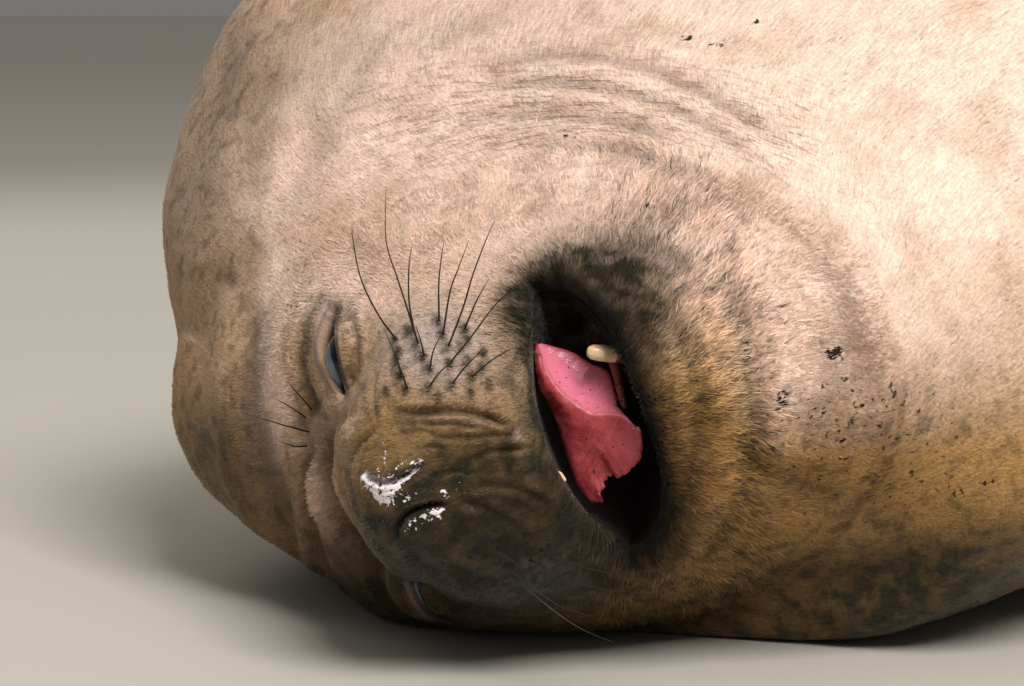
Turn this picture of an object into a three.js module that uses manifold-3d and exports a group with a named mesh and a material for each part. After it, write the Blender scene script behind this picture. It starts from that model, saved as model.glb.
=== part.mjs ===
// Southern elephant seal without a trunk, life size, asleep on its right side with the head drawn back into
// the fat of the neck and the mouth open. Millimetres, +Z up. The trunk runs along Y with the head at -Y;
// the belly faces +X, the back faces -X, and the seal's left side is uppermost.
import * as THREE from "three";
import { mergeVertices } from "three/addons/utils/BufferGeometryUtils.js";
import Module from "manifold-3d";

const wasm = await Module();
wasm.setup();

// Driving dimensions
const NOSE = new THREE.Vector3(-50, -36, 114);
const HEAD_TURN = 18.4; // degrees that the head bends towards the belly
const HEAD_ROLL = 109.5; // degrees about the head's own forward axis, 90 is flat on the right cheek
const HEAD_DIP = 5.9; // degrees that the nose points below level
const BODY_ROLL = 15; // degrees that the trunk leans onto its back
const TAIL_TIP = new THREE.Vector3(-178, 2330, 66);
const AROUND = 48; // points round each loop of the body
const PRESS = 8; // softness of the flesh where it spreads on the floor
const PRESS_FLAT = 1; // taken off below, so that the pressed flesh ends in a true flat
const GAP = 0.3; // left between nodes that meet
const HALF_GAP = GAP / 2;
const ORIGIN = new THREE.Vector3(-70.3, 1315.4, 0); // middle of the model's box, on the floor

const radians = THREE.MathUtils.degToRad;
const vec = (x, y, z) => new THREE.Vector3(x, y, z);

// The head's own axes: forward to the nose, left and up as the seal would say them
const upright = vec(0, 0, 1);
const forward = vec(
  Math.sin(radians(HEAD_TURN)) * Math.cos(radians(HEAD_DIP)),
  -Math.cos(radians(HEAD_TURN)) * Math.cos(radians(HEAD_DIP)),
  -Math.sin(radians(HEAD_DIP)),
);
const headLeft = upright.clone().cross(forward).normalize().applyAxisAngle(forward, radians(HEAD_ROLL));
const headUp = forward.clone().cross(headLeft).normalize();

// A point given from the nose tip: millimetres to the seal's left, forward and up
const onHead = (left, ahead, up) =>
  NOSE.clone().addScaledVector(headLeft, left).addScaledVector(forward, ahead).addScaledVector(headUp, up);

// A loop of skin round the head, by its top [ahead, up], side [left, ahead, up] and bottom [ahead, up]
function headLoop(top, side, bottom, squareness = 2) {
  return (phi) => {
    const c = Math.cos(phi);
    const s = Math.sin(phi);
    const bend = (v) => Math.sign(v) * Math.abs(v) ** (2 / squareness);
    const end = c > 0 ? top : bottom;
    return onHead(
      side[0] * bend(s),
      side[1] + (end[0] - side[1]) * c * c,
      side[2] + (end[1] - side[2]) * Math.abs(bend(c)),
    );
  };
}

// A loop of skin round the body: its middle, how far it reaches, and where along Y each reach lies.
// The roll is how far below level the spine lies, as the seal leans onto its back.
function bodyLoop({ middle, back, belly, top, floor, along, roll = BODY_ROLL, squareness = 2.2 }) {
  return (phi) => {
    const c = Math.cos(phi - radians(roll));
    const s = Math.sin(phi - radians(roll));
    const bend = (v) => Math.abs(v) ** (2 / squareness);
    const [yBack, yTop, yBelly, yFloor] = along;
    return vec(
      middle[0] + ((c > 0 ? back : belly) - middle[0]) * bend(c),
      (c > 0 ? yBack : yBelly) * c * c + (s > 0 ? yTop : yFloor) * s * s,
      middle[1] + ((s > 0 ? top : floor) - middle[1]) * bend(s),
    );
  };
}

const point = (p) => () => p.clone();

// The skin as loops, from the throat out over the lips, back over the face and along the body to the tail.
// The second value is how many rows of facets follow the loop.
const LOOPS = [
  [point(onHead(0, -165, -100)), 1],
  [headLoop([-140, -84], [38, -148, -100], [-140, -124]), 2],
  [headLoop([-78, -70], [62, -120, -92], [-96, -136]), 2],
  [headLoop([-30, -80], [76, -98, -87], [-58, -140]), 1],
  [headLoop([-17, -87], [80, -90, -86], [-44, -141]), 1],
  [headLoop([-7, -85], [86, -86, -85], [-36, -147]), 1],
  [headLoop([-2, -70], [92, -88, -82], [-38, -160]), 2],
  [headLoop([2, -36], [99, -96, -74], [-48, -177]), 2],
  [headLoop([3, 4], [105, -104, -66], [-56, -186]), 2],
  [headLoop([-8, 32], [110, -114, -57], [-61, -196]), 2],
  [headLoop([-46, 54], [117, -129, -45], [-67, -209], 2.1), 3],
  [headLoop([-108, 84], [125, -145, -32], [-76, -228], 2.2), 3],
  [headLoop([-158, 138], [138, -168, -26], [-86, -252], 2.2), 2],
  [headLoop([-214, 200], [156, -198, -22], [-97, -280], 2.1), 3],
  [
    bodyLoop({
      middle: [-88, 202],
      back: -420,
      belly: 222,
      top: 366,
      floor: -30,
      along: [172, 196, 214, 240],
      roll: 30,
    }),
    4,
  ],
  [
    bodyLoop({
      middle: [-124, 232],
      back: -505,
      belly: 260,
      top: 478,
      floor: -28,
      along: [292, 335, 300, 300],
      roll: 23,
      squareness: 2.4,
    }),
    5,
  ],
  [
    bodyLoop({
      middle: [-136, 246],
      back: -545,
      belly: 264,
      top: 536,
      floor: -26,
      along: [480, 500, 486, 490],
      roll: 18,
      squareness: 2.3,
    }),
    4,
  ],
  [trunkLoop(750, -538, 236, 552, -26), 3],
  [trunkLoop(1045, -512, 194, 536, -26), 3],
  [trunkLoop(1330, -466, 140, 486, -25), 3],
  [trunkLoop(1600, -414, 82, 402, -23), 3],
  [trunkLoop(1835, -358, 18, 314, -20), 2],
  [trunkLoop(2030, -300, -46, 226, -17), 2],
  [trunkLoop(2160, -256, -92, 158, -8), 2],
  [trunkLoop(2250, -224, -128, 112, 18), 2],
  [trunkLoop(2305, -202, -152, 90, 42), 1],
  [point(TAIL_TIP), 0],
];

function trunkLoop(y, back, belly, top, floor) {
  const middle = [(back + belly) / 2, (top + floor) / 2 - 10];
  return bodyLoop({ middle, back, belly, top, floor, along: [y, y, y, y] });
}

// Swellings and hollows of the face, by their place on the head, their spread and which way they push
const SWELLS = [
  { at: [66, -42, -32], spread: 30, push: [6, 7, 0], both: true }, // whisker pads
  { at: [17, 0, 2], spread: 17, push: [1, 6, 1], both: true }, // nostril cushions
  { at: [0, 2, -48], spread: 12, push: [0, -4, 0] }, // groove of the upper lip
  { at: [90, -126, 60], spread: 30, push: [4, 13, 6], both: true }, // eyeballs under the lids
  { at: [64, -84, 22], spread: 22, push: [-5, -3, -4], both: true }, // hollow before the eye
  { at: [0, -46, -168], spread: 26, push: [0, 6, -3] }, // chin
  { at: [0, -190, 150], spread: 60, push: [0, -6, 10] }, // fat of the crown
  { at: [30, -275, 240], spread: 68, push: [6, 5, 17] }, // roll of the nape
  { at: [-66, -208, 178], spread: 56, push: [-9, -8, -25] }, // cheek drawn in above the floor
  { at: [119, -327, 263], spread: 55, push: [-4, -3, -11] }, // hollow between nape and shoulder
  { at: [335, -525, 160], spread: 110, push: [9, 7, 22] }, // shoulder blade
];

function swell(p) {
  const moved = p.clone();
  for (const { at, spread, push, both } of SWELLS) {
    for (const side of both ? [1, -1] : [1]) {
      const centre = onHead(side * at[0], at[1], at[2]);
      const share = Math.exp(-p.distanceToSquared(centre) / spread ** 2);
      moved
        .addScaledVector(headLeft, side * push[0] * share)
        .addScaledVector(forward, push[1] * share)
        .addScaledVector(headUp, push[2] * share);
    }
  }
  return moved;
}

// Flesh that would sink into the floor spreads flat on it
function pressed(p) {
  const soft = PRESS * Math.log1p(Math.exp(p.z / PRESS)) - PRESS_FLAT;
  return vec(p.x, p.y, Math.max(0, p.z > 20 * PRESS ? p.z - PRESS_FLAT : soft));
}

// A smooth curve through four neighbours, at a share of the way from b to c
function between(a, b, c, d, share) {
  const curve = (k) => {
    const m0 = (c[k] - a[k]) / 2;
    const m1 = (d[k] - b[k]) / 2;
    const t = share;
    return (
      b[k] * (2 * t ** 3 - 3 * t ** 2 + 1) +
      m0 * (t ** 3 - 2 * t ** 2 + t) +
      c[k] * (3 * t ** 2 - 2 * t ** 3) +
      m1 * (t ** 3 - t ** 2)
    );
  };
  return vec(curve("x"), curve("y"), curve("z"));
}

// A point of the skin, by its place along the loops and its angle from the back over the left side
function skinPoint(along, phi) {
  const last = LOOPS.length - 1;
  const i = Math.min(Math.floor(along), last - 1);
  const loop = (k) => LOOPS[THREE.MathUtils.clamp(k, 0, last)][0](phi);
  return pressed(swell(between(loop(i - 1), loop(i), loop(i + 1), loop(i + 2), along - i)));
}

// One closed surface from rows of points, with a single point at each end, or a last row that is shut by itself
function lofted(rows, first, last) {
  const positions = [first, ...rows.flat(), ...(last ? [last] : [])].flatMap((p) => p.toArray());
  const round = rows[0].length;
  const at = (row, k) => 1 + row * round + (k % round);
  const end = 1 + rows.length * round;
  const faces = [];
  for (let k = 0; k < round; k++) {
    faces.push(0, at(0, k + 1), at(0, k));
    if (last) faces.push(end, at(rows.length - 1, k), at(rows.length - 1, k + 1));
    for (let row = 0; row + 1 < rows.length; row++) {
      faces.push(at(row, k), at(row + 1, k + 1), at(row + 1, k));
      faces.push(at(row, k), at(row, k + 1), at(row + 1, k + 1));
    }
  }
  const geometry = new THREE.BufferGeometry();
  geometry.setAttribute("position", new THREE.Float32BufferAttribute(positions, 3));
  geometry.setIndex(faces);
  return geometry;
}

function solid(geometry) {
  const bare = geometry.clone();
  bare.deleteAttribute("normal");
  bare.deleteAttribute("uv");
  const merged = mergeVertices(bare, 1e-3);
  const made = new wasm.Manifold(
    new wasm.Mesh({
      numProp: 3,
      vertProperties: merged.attributes.position.array,
      triVerts: new Uint32Array(merged.index.array),
    }),
  );
  return made;
}

function geometryOf(manifold) {
  const { vertProperties, triVerts } = manifold.getMesh();
  const geometry = new THREE.BufferGeometry();
  geometry.setAttribute("position", new THREE.BufferAttribute(vertProperties, 3));
  geometry.setIndex(new THREE.BufferAttribute(triVerts, 1));
  geometry.computeVertexNormals();
  return geometry;
}

const largest = (manifold) =>
  manifold.decompose().sort((a, b) => b.volume() - a.volume())[0];

// The whole body as one solid. A growth moves its skin outwards, for cutting pieces that must clear it.
function bodySolid(growth = 0) {
  const stations = LOOPS.slice(1, -1).flatMap(([, steps], i) =>
    Array.from({ length: steps }, (_, step) => i + 1 + step / steps),
  );
  const rows = stations.map((along) =>
    Array.from({ length: AROUND }, (_, k) => skinPoint(along, (2 * Math.PI * k) / AROUND)),
  );
  const geometry = lofted(rows, skinPoint(0, 0), skinPoint(LOOPS.length - 1, 0));
  if (growth) {
    geometry.computeVertexNormals();
    const { position, normal } = geometry.attributes;
    for (let i = 0; i < position.count; i++) {
      const p = new THREE.Vector3().fromBufferAttribute(position, i);
      p.addScaledVector(new THREE.Vector3().fromBufferAttribute(normal, i), growth);
      position.setXYZ(i, p.x, p.y, p.z);
    }
  }
  return solid(geometry);
}

// Thin cuts part the body. Each keeps what lies on the normal's side of a plane, less half the gap.
function keep(manifold, normal, through) {
  const n = normal.clone().normalize();
  return manifold.trimByPlane(n.toArray(), n.dot(through) + HALF_GAP);
}
function partAt(manifold, normal, through) {
  return [keep(manifold, normal, through), keep(manifold, normal.clone().negate(), through)];
}

// An ellipsoid lying along three given axes
function ellipsoid(centre, axes, reach, wide = 16, high = 10) {
  const geometry = new THREE.SphereGeometry(1, wide, high);
  const [x, y, z] = axes.map((a, k) => a.clone().multiplyScalar(reach[k]));
  if (x.clone().cross(y).dot(z) < 0) z.negate();
  geometry.applyMatrix4(new THREE.Matrix4().makeBasis(x, y, z).setPosition(centre));
  return solid(geometry);
}

// A tapered roll of flesh along a curve, thickest in its middle
function roll(points, thickness, steps = 12, sides = 6) {
  const curve = new THREE.CatmullRomCurve3(points);
  const frames = curve.computeFrenetFrames(steps, false);
  const rows = [];
  for (let i = 1; i < steps; i++) {
    const t = i / steps;
    const r = thickness * Math.sqrt(Math.sin(Math.PI * t));
    rows.push(
      Array.from({ length: sides }, (_, k) => {
        const a = (2 * Math.PI * k) / sides;
        return curve
          .getPoint(t)
          .addScaledVector(frames.normals[i], r * Math.cos(a))
          .addScaledVector(frames.binormals[i], r * Math.sin(a));
      }),
    );
  }
  const made = solid(lofted(rows, curve.getPoint(0), curve.getPoint(1)));
  return made.volume() < 0 ? solid(lofted(rows.map((r) => r.reverse()), curve.getPoint(0), curve.getPoint(1))) : made;
}

const body = bodySolid();
const cutter = bodySolid(GAP);
const skin = new THREE.Mesh(geometryOf(body), new THREE.MeshStandardMaterial());
const caster = new THREE.Raycaster();

// Where the skin is met on the way inwards to a point near it
function onSkin(near, inwards) {
  const reach = 90;
  caster.set(near.clone().addScaledVector(inwards, -reach), inwards);
  return caster.intersectObject(skin)[0].point;
}

const headVector = (left, ahead, up) => onHead(left, ahead, up).sub(NOSE).normalize();

// Each eye: a ball under the skin, seen through the slit between two lids
const EYE_RADIUS = 25;
const LID = 3; // flesh over the ball
const SLIT_HALF = 25;
const SLIT_OPEN = 3.4; // half the gap between the lids
const EYE_AT = [86, -122, 62];
const EYE_FACES = [0.6, 0.66, 0.45];
const SLIT_RUNS = [-0.68, 0.72, -0.13]; // from the outer corner to the inner one

function eye(side) {
  const outwards = headVector(side * EYE_FACES[0], EYE_FACES[1], EYE_FACES[2]);
  const inwards = outwards.clone().negate();
  const middle = onSkin(onHead(side * EYE_AT[0], EYE_AT[1], EYE_AT[2]), inwards);
  const run = headVector(side * SLIT_RUNS[0], SLIT_RUNS[1], SLIT_RUNS[2]).projectOnPlane(outwards).normalize();
  const across = outwards.clone().cross(run);
  const axes = [run, across, outwards];
  const centre = middle.clone().addScaledVector(inwards, EYE_RADIUS + LID);
  const ball = (grown) => ellipsoid(centre, axes, Array(3).fill(EYE_RADIUS + grown), 14, 9);
  const slit = ellipsoid(middle, axes, [SLIT_HALF, SLIT_OPEN, 2 * LID + 6], 16, 8);
  const lids = [1, -1].map((way) => {
    const edge = [-1, -0.6, 0, 0.6, 1].map((t) => {
      const off = way * (SLIT_OPEN + 2.6) * (1 - t * t);
      const near = middle.clone().addScaledVector(run, (SLIT_HALF + 5) * t).addScaledVector(across, off);
      return onSkin(near, inwards);
    });
    return roll(edge, 3.4, 9);
  });
  return { ball: ball(0), socket: ball(GAP).add(slit), lids };
}

// Each nostril: a closed crescent, bowed towards the middle, from [left, up] points on the nose
const NOSTRIL = [
  [22, 16],
  [13.5, 7],
  [11, -5],
  [13, -22],
];
const NOSTRIL_HALF = 3.4;

function nostril(side) {
  const inwards = forward.clone().negate();
  return roll(NOSTRIL.map(([left, up]) => onSkin(onHead(side * left, 0, up), inwards)), NOSTRIL_HALF);
}

// The ear is a pinhole behind the eye
const EAR_AT = [110, -232, 12];
function ear(side) {
  const inwards = headLeft.clone().multiplyScalar(-side);
  const mouth = onSkin(onHead(side * EAR_AT[0], EAR_AT[1], EAR_AT[2]), inwards);
  return ellipsoid(mouth, [forward, headUp, headLeft], [3, 2, 9], 8, 6);
}

// A cone from its wide end to its tip
function cone(from, to, radius, sides = 8) {
  const heading = to.clone().sub(from);
  const geometry = new THREE.ConeGeometry(radius, heading.length(), sides);
  geometry.applyQuaternion(new THREE.Quaternion().setFromUnitVectors(vec(0, 1, 0), heading.clone().normalize()));
  geometry.translate(...from.clone().add(to).multiplyScalar(0.5).toArray());
  return solid(geometry);
}

// A flipper runs from a root inside the body to a thin, scalloped edge. Five digits are ridges in both faces.
const DIGITS = 5;
const DIGIT_AT = [-0.8, -0.4, 0, 0.4, 0.8]; // across the flipper, of its half width
const ACROSS = 20; // facets across each face
const ALONG = [0, 0.16, 0.34, 0.54, 0.74, 0.91, 1];
const digitRidge = (across) => Math.cos((Math.PI * DIGITS * across) / 2) ** 2;

// The value at a share of the way along a list
function along(list, share) {
  const at = THREE.MathUtils.clamp(share, 0, 1) * (list.length - 1);
  const i = Math.min(Math.floor(at), list.length - 2);
  return THREE.MathUtils.lerp(list[i], list[i + 1], at - i);
}

function flipper({ path, side, halfWidths, halfThick, reach, cup, clawLength = 0 }) {
  const curve = new THREE.CatmullRomCurve3(path);
  const station = (t, across, face) => {
    const heading = curve.getTangent(t);
    const lateral = side(t).projectOnPlane(heading).normalize();
    const outwards = heading.clone().cross(lateral).normalize();
    const wide = along(halfWidths, t) * across;
    const ridge = THREE.MathUtils.lerp(1, 0.45 + 0.55 * digitRidge(across), t);
    const thick = t < 1 ? along(halfThick, t) * Math.sqrt(1 - across ** 4) * ridge * face : 0;
    const scallop = along(reach, (across + 1) / 2) * t ** 2 - 9 * (1 - digitRidge(across)) * t ** 6;
    const p = curve
      .getPoint(t)
      .addScaledVector(lateral, wide)
      .addScaledVector(outwards, thick - wide ** 2 / (2 * cup))
      .addScaledVector(heading, scallop);
    return pressed(p);
  };
  const rows = ALONG.map((t) => {
    const face = (way) =>
      Array.from({ length: ACROSS }, (_, k) => station(t, way * (1 - (2 * k) / ACROSS), way));
    return [...face(1), ...face(-1)];
  });
  const rootEnd = curve.getPoint(0);
  let blade = solid(lofted(rows, rootEnd));
  if (blade.volume() < 0) blade = solid(lofted(rows.map((row) => row.reverse()), rootEnd));
  if (!clawLength) return blade.subtract(cutter);
  const claws = DIGIT_AT.map((across, i) => {
    const from = station(0.86, across, 1);
    const tip = station(0.999, across, 1);
    const heading = tip.clone().sub(from).normalize();
    return cone(from.addScaledVector(heading, 2), from.clone().addScaledVector(heading, clawLength * (1 - 0.08 * i)), 5);
  });
  return claws.reduce((whole, claw) => whole.add(claw), blade).subtract(cutter);
}

const group = new THREE.Group();
group.position.copy(ORIGIN).negate();

function addNode(name, manifold, color, roughness) {
  const mesh = new THREE.Mesh(
    geometryOf(largest(manifold)),
    new THREE.MeshStandardMaterial({ color, roughness, metalness: 0 }),
  );
  mesh.name = name;
  group.add(mesh);
}

// Where the body is parted
const HEAD_CUT = { through: onHead(0, -262, 200), faces: headVector(0, 0.972, 0.238) };
const JAW_CUT = { through: onHead(0, -90, -87), faces: headVector(0, 0.171, 0.985) };
const CHEST_START = 345;
const BELLY_START = 850;
const HIPS_START = 1450;
const TAIL_START = 2205;
const towardsHead = vec(0, -1, 0);

const FUR = 0xb98f62;
const FUR_PALE = 0xd9b48c;
const FACE = 0x6a5638;
const FLIPPER = 0x5c4a36;
const EYE_WET = 0x2c3038;
const TONGUE = 0xb8485a;
const IVORY = 0xe8d3a4;

const [front, trunk] = partAt(body, HEAD_CUT.faces, HEAD_CUT.through);
const [skull, jaw] = partAt(front, JAW_CUT.faces, JAW_CUT.through);
const eyes = { left: eye(1), right: eye(-1) };
let head = skull;
for (const { lids, socket } of Object.values(eyes)) {
  head = lids.reduce((whole, lid) => whole.add(lid), head).subtract(socket);
}
for (const side of [1, -1]) {
  head = head.subtract(nostril(side)).subtract(ear(side));
}
addNode("head", head, FACE, 0.8);
addNode("lower_jaw", jaw, FACE, 0.8);
addNode("left_eye", eyes.left.ball, EYE_WET, 0.1);
addNode("right_eye", eyes.right.ball, EYE_WET, 0.1);

let rest = trunk;
for (const [name, end, color] of [
  ["neck", CHEST_START, FUR],
  ["chest", BELLY_START, FUR_PALE],
  ["belly", HIPS_START, FUR_PALE],
  ["hips", TAIL_START, FUR],
]) {
  const [piece, behind] = partAt(rest, towardsHead, vec(0, end, 0));
  addNode(name, piece, color, 0.85);
  rest = behind;
}
addNode("tail", rest, FUR, 0.85);

// The tongue lies in the jaw with its edge turned up into a ridge
const tongueAxes = [headLeft, forward, headUp];
const tongueRidge = [
  [50, -58, -92],
  [30, -50, -97],
  [14, -47, -103],
  [2, -47, -111],
  [-7, -45, -121],
].map(([left, ahead, up]) => onHead(left, ahead, up));
const tongue = ellipsoid(onHead(3, -82, -105), tongueAxes, [57, 42, 26], 18, 10)
  .add(ellipsoid(onHead(-21, -58, -112), tongueAxes, [31, 20, 23], 14, 8))
  .add(roll(tongueRidge, 7, 9, 6));

// The two teeth that show: a blunt lower canine on the left and the tip of an upper one on the right
const lowerCanine = (grown) => cone(onHead(36, -50, -148), onHead(38, -56, -115), 7.5 + grown);
const upperCanine = cone(onHead(-22, -36, -66), onHead(-21, -30, -90), 4.5);
const besideTooth = lowerCanine(2);
addNode("tongue", tongue.subtract(cutter).subtract(besideTooth), TONGUE, 0.4);
addNode("lower_canine", lowerCanine(0).subtract(cutter), IVORY, 0.35);
addNode("upper_canine", upperCanine.subtract(cutter).subtract(tongue), IVORY, 0.35);

// Fore flippers: the left lies back along the upper flank, the right rests on the floor before the belly
const flank = [
  [15.9, 120, -30],
  [16.15, 124, -4],
  [16.45, 128, 16],
  [16.8, 132, 13],
  [17.1, 136, 12],
  [17.3, 139, 11],
];
const flankPoint = ([loop, angle, off]) => {
  const at = skinPoint(loop, radians(angle));
  const beside = skinPoint(loop, radians(angle + 4)).sub(at);
  const behind = skinPoint(loop + 0.1, radians(angle)).sub(at);
  return at.addScaledVector(behind.cross(beside).normalize().negate(), off);
};
addNode(
  "left_foreflipper",
  flipper({
    path: flank.map(flankPoint),
    side: (t) => vec(-0.87 + 0.15 * t, 0.3, 0.4 + 0.2 * t),
    halfWidths: [52, 54, 62, 74, 80, 82],
    halfThick: [22, 19, 14, 10, 7, 5],
    reach: [-62, -34, -10, 8, 18, 20],
    cup: 380,
    clawLength: 34,
  }),
  FLIPPER,
  0.7,
);
addNode(
  "right_foreflipper",
  flipper({
    path: [vec(120, 520, 92), vec(182, 580, 62), vec(240, 665, 29), vec(288, 760, 15), vec(326, 856, 8.5)],
    side: () => vec(0.86, -0.5, -0.06),
    halfWidths: [52, 56, 66, 76, 82],
    halfThick: [24, 20, 14, 9, 6],
    reach: [-62, -30, -6, 10, 20],
    cup: 2000,
    clawLength: 34,
  }),
  FLIPPER,
  0.7,
);

// Hind flippers: they trail past the tail with their soles together, the left above the right
addNode(
  "left_hindflipper",
  flipper({
    path: [
      vec(-168, 2070, 112),
      vec(-164, 2170, 116),
      vec(-158, 2280, 112),
      vec(-150, 2390, 90),
      vec(-144, 2500, 64),
      vec(-140, 2610, 50),
    ],
    side: () => vec(1, 0.02, 0.02),
    halfWidths: [56, 60, 70, 92, 122, 150],
    halfThick: [36, 30, 22, 14, 9, 6],
    reach: [70, 26, -24, 22, 60],
    cup: 900,
  }),
  FLIPPER,
  0.75,
);
addNode(
  "right_hindflipper",
  flipper({
    path: [
      vec(-168, 2070, 42),
      vec(-170, 2170, 34),
      vec(-172, 2280, 24),
      vec(-176, 2390, 16),
      vec(-182, 2500, 11),
      vec(-190, 2610, 8),
    ],
    side: () => vec(1, 0.02, 0),
    halfWidths: [52, 56, 68, 92, 124, 154],
    halfThick: [34, 26, 17, 11, 8, 6],
    reach: [70, 26, -24, 22, 60],
    cup: 6000,
  }),
  FLIPPER,
  0.75,
);

export default group;
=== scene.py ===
import math

import bpy
import numpy as np
from mathutils import Matrix


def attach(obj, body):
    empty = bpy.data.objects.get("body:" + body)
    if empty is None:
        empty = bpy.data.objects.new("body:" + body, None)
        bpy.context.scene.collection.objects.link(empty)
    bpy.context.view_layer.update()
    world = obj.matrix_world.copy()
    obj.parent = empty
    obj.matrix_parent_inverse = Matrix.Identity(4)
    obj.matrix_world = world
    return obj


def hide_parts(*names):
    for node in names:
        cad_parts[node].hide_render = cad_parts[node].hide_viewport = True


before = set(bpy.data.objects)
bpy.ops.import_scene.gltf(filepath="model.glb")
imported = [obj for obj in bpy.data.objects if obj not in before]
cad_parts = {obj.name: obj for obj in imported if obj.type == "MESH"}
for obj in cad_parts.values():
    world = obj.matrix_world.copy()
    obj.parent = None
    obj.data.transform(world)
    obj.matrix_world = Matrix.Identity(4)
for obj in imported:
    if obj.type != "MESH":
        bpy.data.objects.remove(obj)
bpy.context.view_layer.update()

# The view: a low eye level in front of the head, looking past the open mouth along the upper flank. What is
# seen of the seal is placed by where it lies in the picture, at a real scale of so many pixels to the
# millimetre at the nose. It is drawn in millimetres, and moved to the frame's origin as points are stored.
ORIGIN = np.array([-70.3, 1315.4, 0.0])
NOSE = np.array([-50.0, -36.0, 114.0])
PICTURE = (1024, 686)
NOSE_SEEN_AT = (404, 497)
PIXELS_PER_MM = 1.75
CAMERA_AWAY = 1900.0
CAMERA_AZIMUTH = math.radians(36)
CAMERA_HEIGHT_ANGLE = math.radians(6)
SENSOR = 36.0
SEEN_TO = 60.0  # metres

SIGHT_RIGHT = np.array([math.cos(CAMERA_AZIMUTH), math.sin(CAMERA_AZIMUTH), 0.0])
LEVEL_AHEAD = np.array([-math.sin(CAMERA_AZIMUTH), math.cos(CAMERA_AZIMUTH), 0.0])
SIGHT_BACK = np.array([0, 0, math.sin(CAMERA_HEIGHT_ANGLE)]) - LEVEL_AHEAD * math.cos(CAMERA_HEIGHT_ANGLE)
SIGHT_UP = np.cross(SIGHT_BACK, SIGHT_RIGHT)
MIDDLE = (PICTURE[0] / 2, PICTURE[1] / 2)
AIM = (
    NOSE
    + SIGHT_RIGHT * (MIDDLE[0] - NOSE_SEEN_AT[0]) / PIXELS_PER_MM
    + SIGHT_UP * (NOSE_SEEN_AT[1] - MIDDLE[1]) / PIXELS_PER_MM
)
EYE_POINT = AIM + SIGHT_BACK * CAMERA_AWAY
FOCAL_PIXELS = PIXELS_PER_MM * CAMERA_AWAY


def to_frame(points):
    return (np.asarray(points, float) - ORIGIN) / 1000


def seen_at(points):
    """Where points of the seal lie in the picture, in pixels."""
    away = points - EYE_POINT
    depth = -away @ SIGHT_BACK
    across = MIDDLE[0] + FOCAL_PIXELS * (away @ SIGHT_RIGHT) / depth
    down = MIDDLE[1] - FOCAL_PIXELS * (away @ SIGHT_UP) / depth
    return np.stack([across, down], -1)


def behind_pixel(pixels, nearer):
    """Points behind the picture's pixels, each some millimetres nearer to the viewer than the nose."""
    pixels = np.asarray(pixels, float)
    nearer = np.asarray(nearer, float)
    heading = (
        SIGHT_RIGHT * ((pixels[:, :1] - MIDDLE[0]) / FOCAL_PIXELS)
        + SIGHT_UP * ((MIDDLE[1] - pixels[:, 1:2]) / FOCAL_PIXELS)
        - SIGHT_BACK
    )
    return EYE_POINT + heading * (CAMERA_AWAY - nearer)[:, None]


def turned(right, up, back, at):
    """The matrix of what stands at a place in the frame and looks away from its back."""
    place = np.eye(4)
    place[:3] = np.stack([right, up, back, at], 1)
    return Matrix(place.tolist())


camera = bpy.data.objects.new("camera", bpy.data.cameras.new("camera"))
bpy.context.scene.collection.objects.link(camera)
camera.data.sensor_width = SENSOR
camera.data.lens = SENSOR * FOCAL_PIXELS / PICTURE[0]
camera.data.clip_end = SEEN_TO
camera.matrix_world = turned(SIGHT_RIGHT, SIGHT_UP, SIGHT_BACK, to_frame(EYE_POINT))
bpy.context.scene.camera = camera

# The body: one skin of blubber and short fur from inside the mouth to the tail. It is drawn as loops round
# the seal that widen from the lips, fold back over the face and neck, and narrow to the tail. The seal lies
# on its right side, so phi 0 is the back, 90 the upper flank, 180 the belly, and 270 the side on the floor.
HEAD_TURN = math.radians(18.4)
HEAD_ROLL = math.radians(109.5)
HEAD_DIP = math.radians(5.9)
BODY_ROLL = 15
TAIL_TIP = np.array([-178.0, 2330.0, 66.0])
PRESS = 8.0
PRESS_FLAT = 1.0
FORWARD = np.array(
    [
        math.sin(HEAD_TURN) * math.cos(HEAD_DIP),
        -math.cos(HEAD_TURN) * math.cos(HEAD_DIP),
        -math.sin(HEAD_DIP),
    ]
)
LEVEL_LEFT = np.cross([0, 0, 1], FORWARD)
LEVEL_LEFT /= np.linalg.norm(LEVEL_LEFT)
HEAD_LEFT = LEVEL_LEFT * math.cos(HEAD_ROLL) + np.cross(FORWARD, LEVEL_LEFT) * math.sin(HEAD_ROLL)
HEAD_UP = np.cross(FORWARD, HEAD_LEFT)


def on_head(left, ahead, up):
    """A point given from the nose tip, in millimetres to the seal's left, forward and up."""
    left, ahead, up = (np.asarray(v, float)[..., None] for v in (left, ahead, up))
    return NOSE + left * HEAD_LEFT + ahead * FORWARD + up * HEAD_UP


def from_nose(points):
    away = points - NOSE
    return away @ HEAD_LEFT, away @ FORWARD, away @ HEAD_UP


def other_side(points):
    left, ahead, up = from_nose(points)
    return on_head(-left, ahead, up)


def head_loop(top, side, bottom, squareness=2.0):
    """A loop through four places, as millimetres left, ahead and up from the nose tip."""

    def loop(phi):
        c, s = np.cos(phi), np.sin(phi)
        full = np.abs(c) ** (2 / squareness)
        wide = np.sign(s) * np.abs(s) ** (2 / squareness)
        end_ahead = np.where(c > 0, top[0], bottom[0])
        end_up = np.where(c > 0, top[1], bottom[1])
        ahead = side[1] + (end_ahead - side[1]) * c * c
        return on_head(side[0] * wide, ahead, side[2] + (end_up - side[2]) * full)

    return loop


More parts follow.
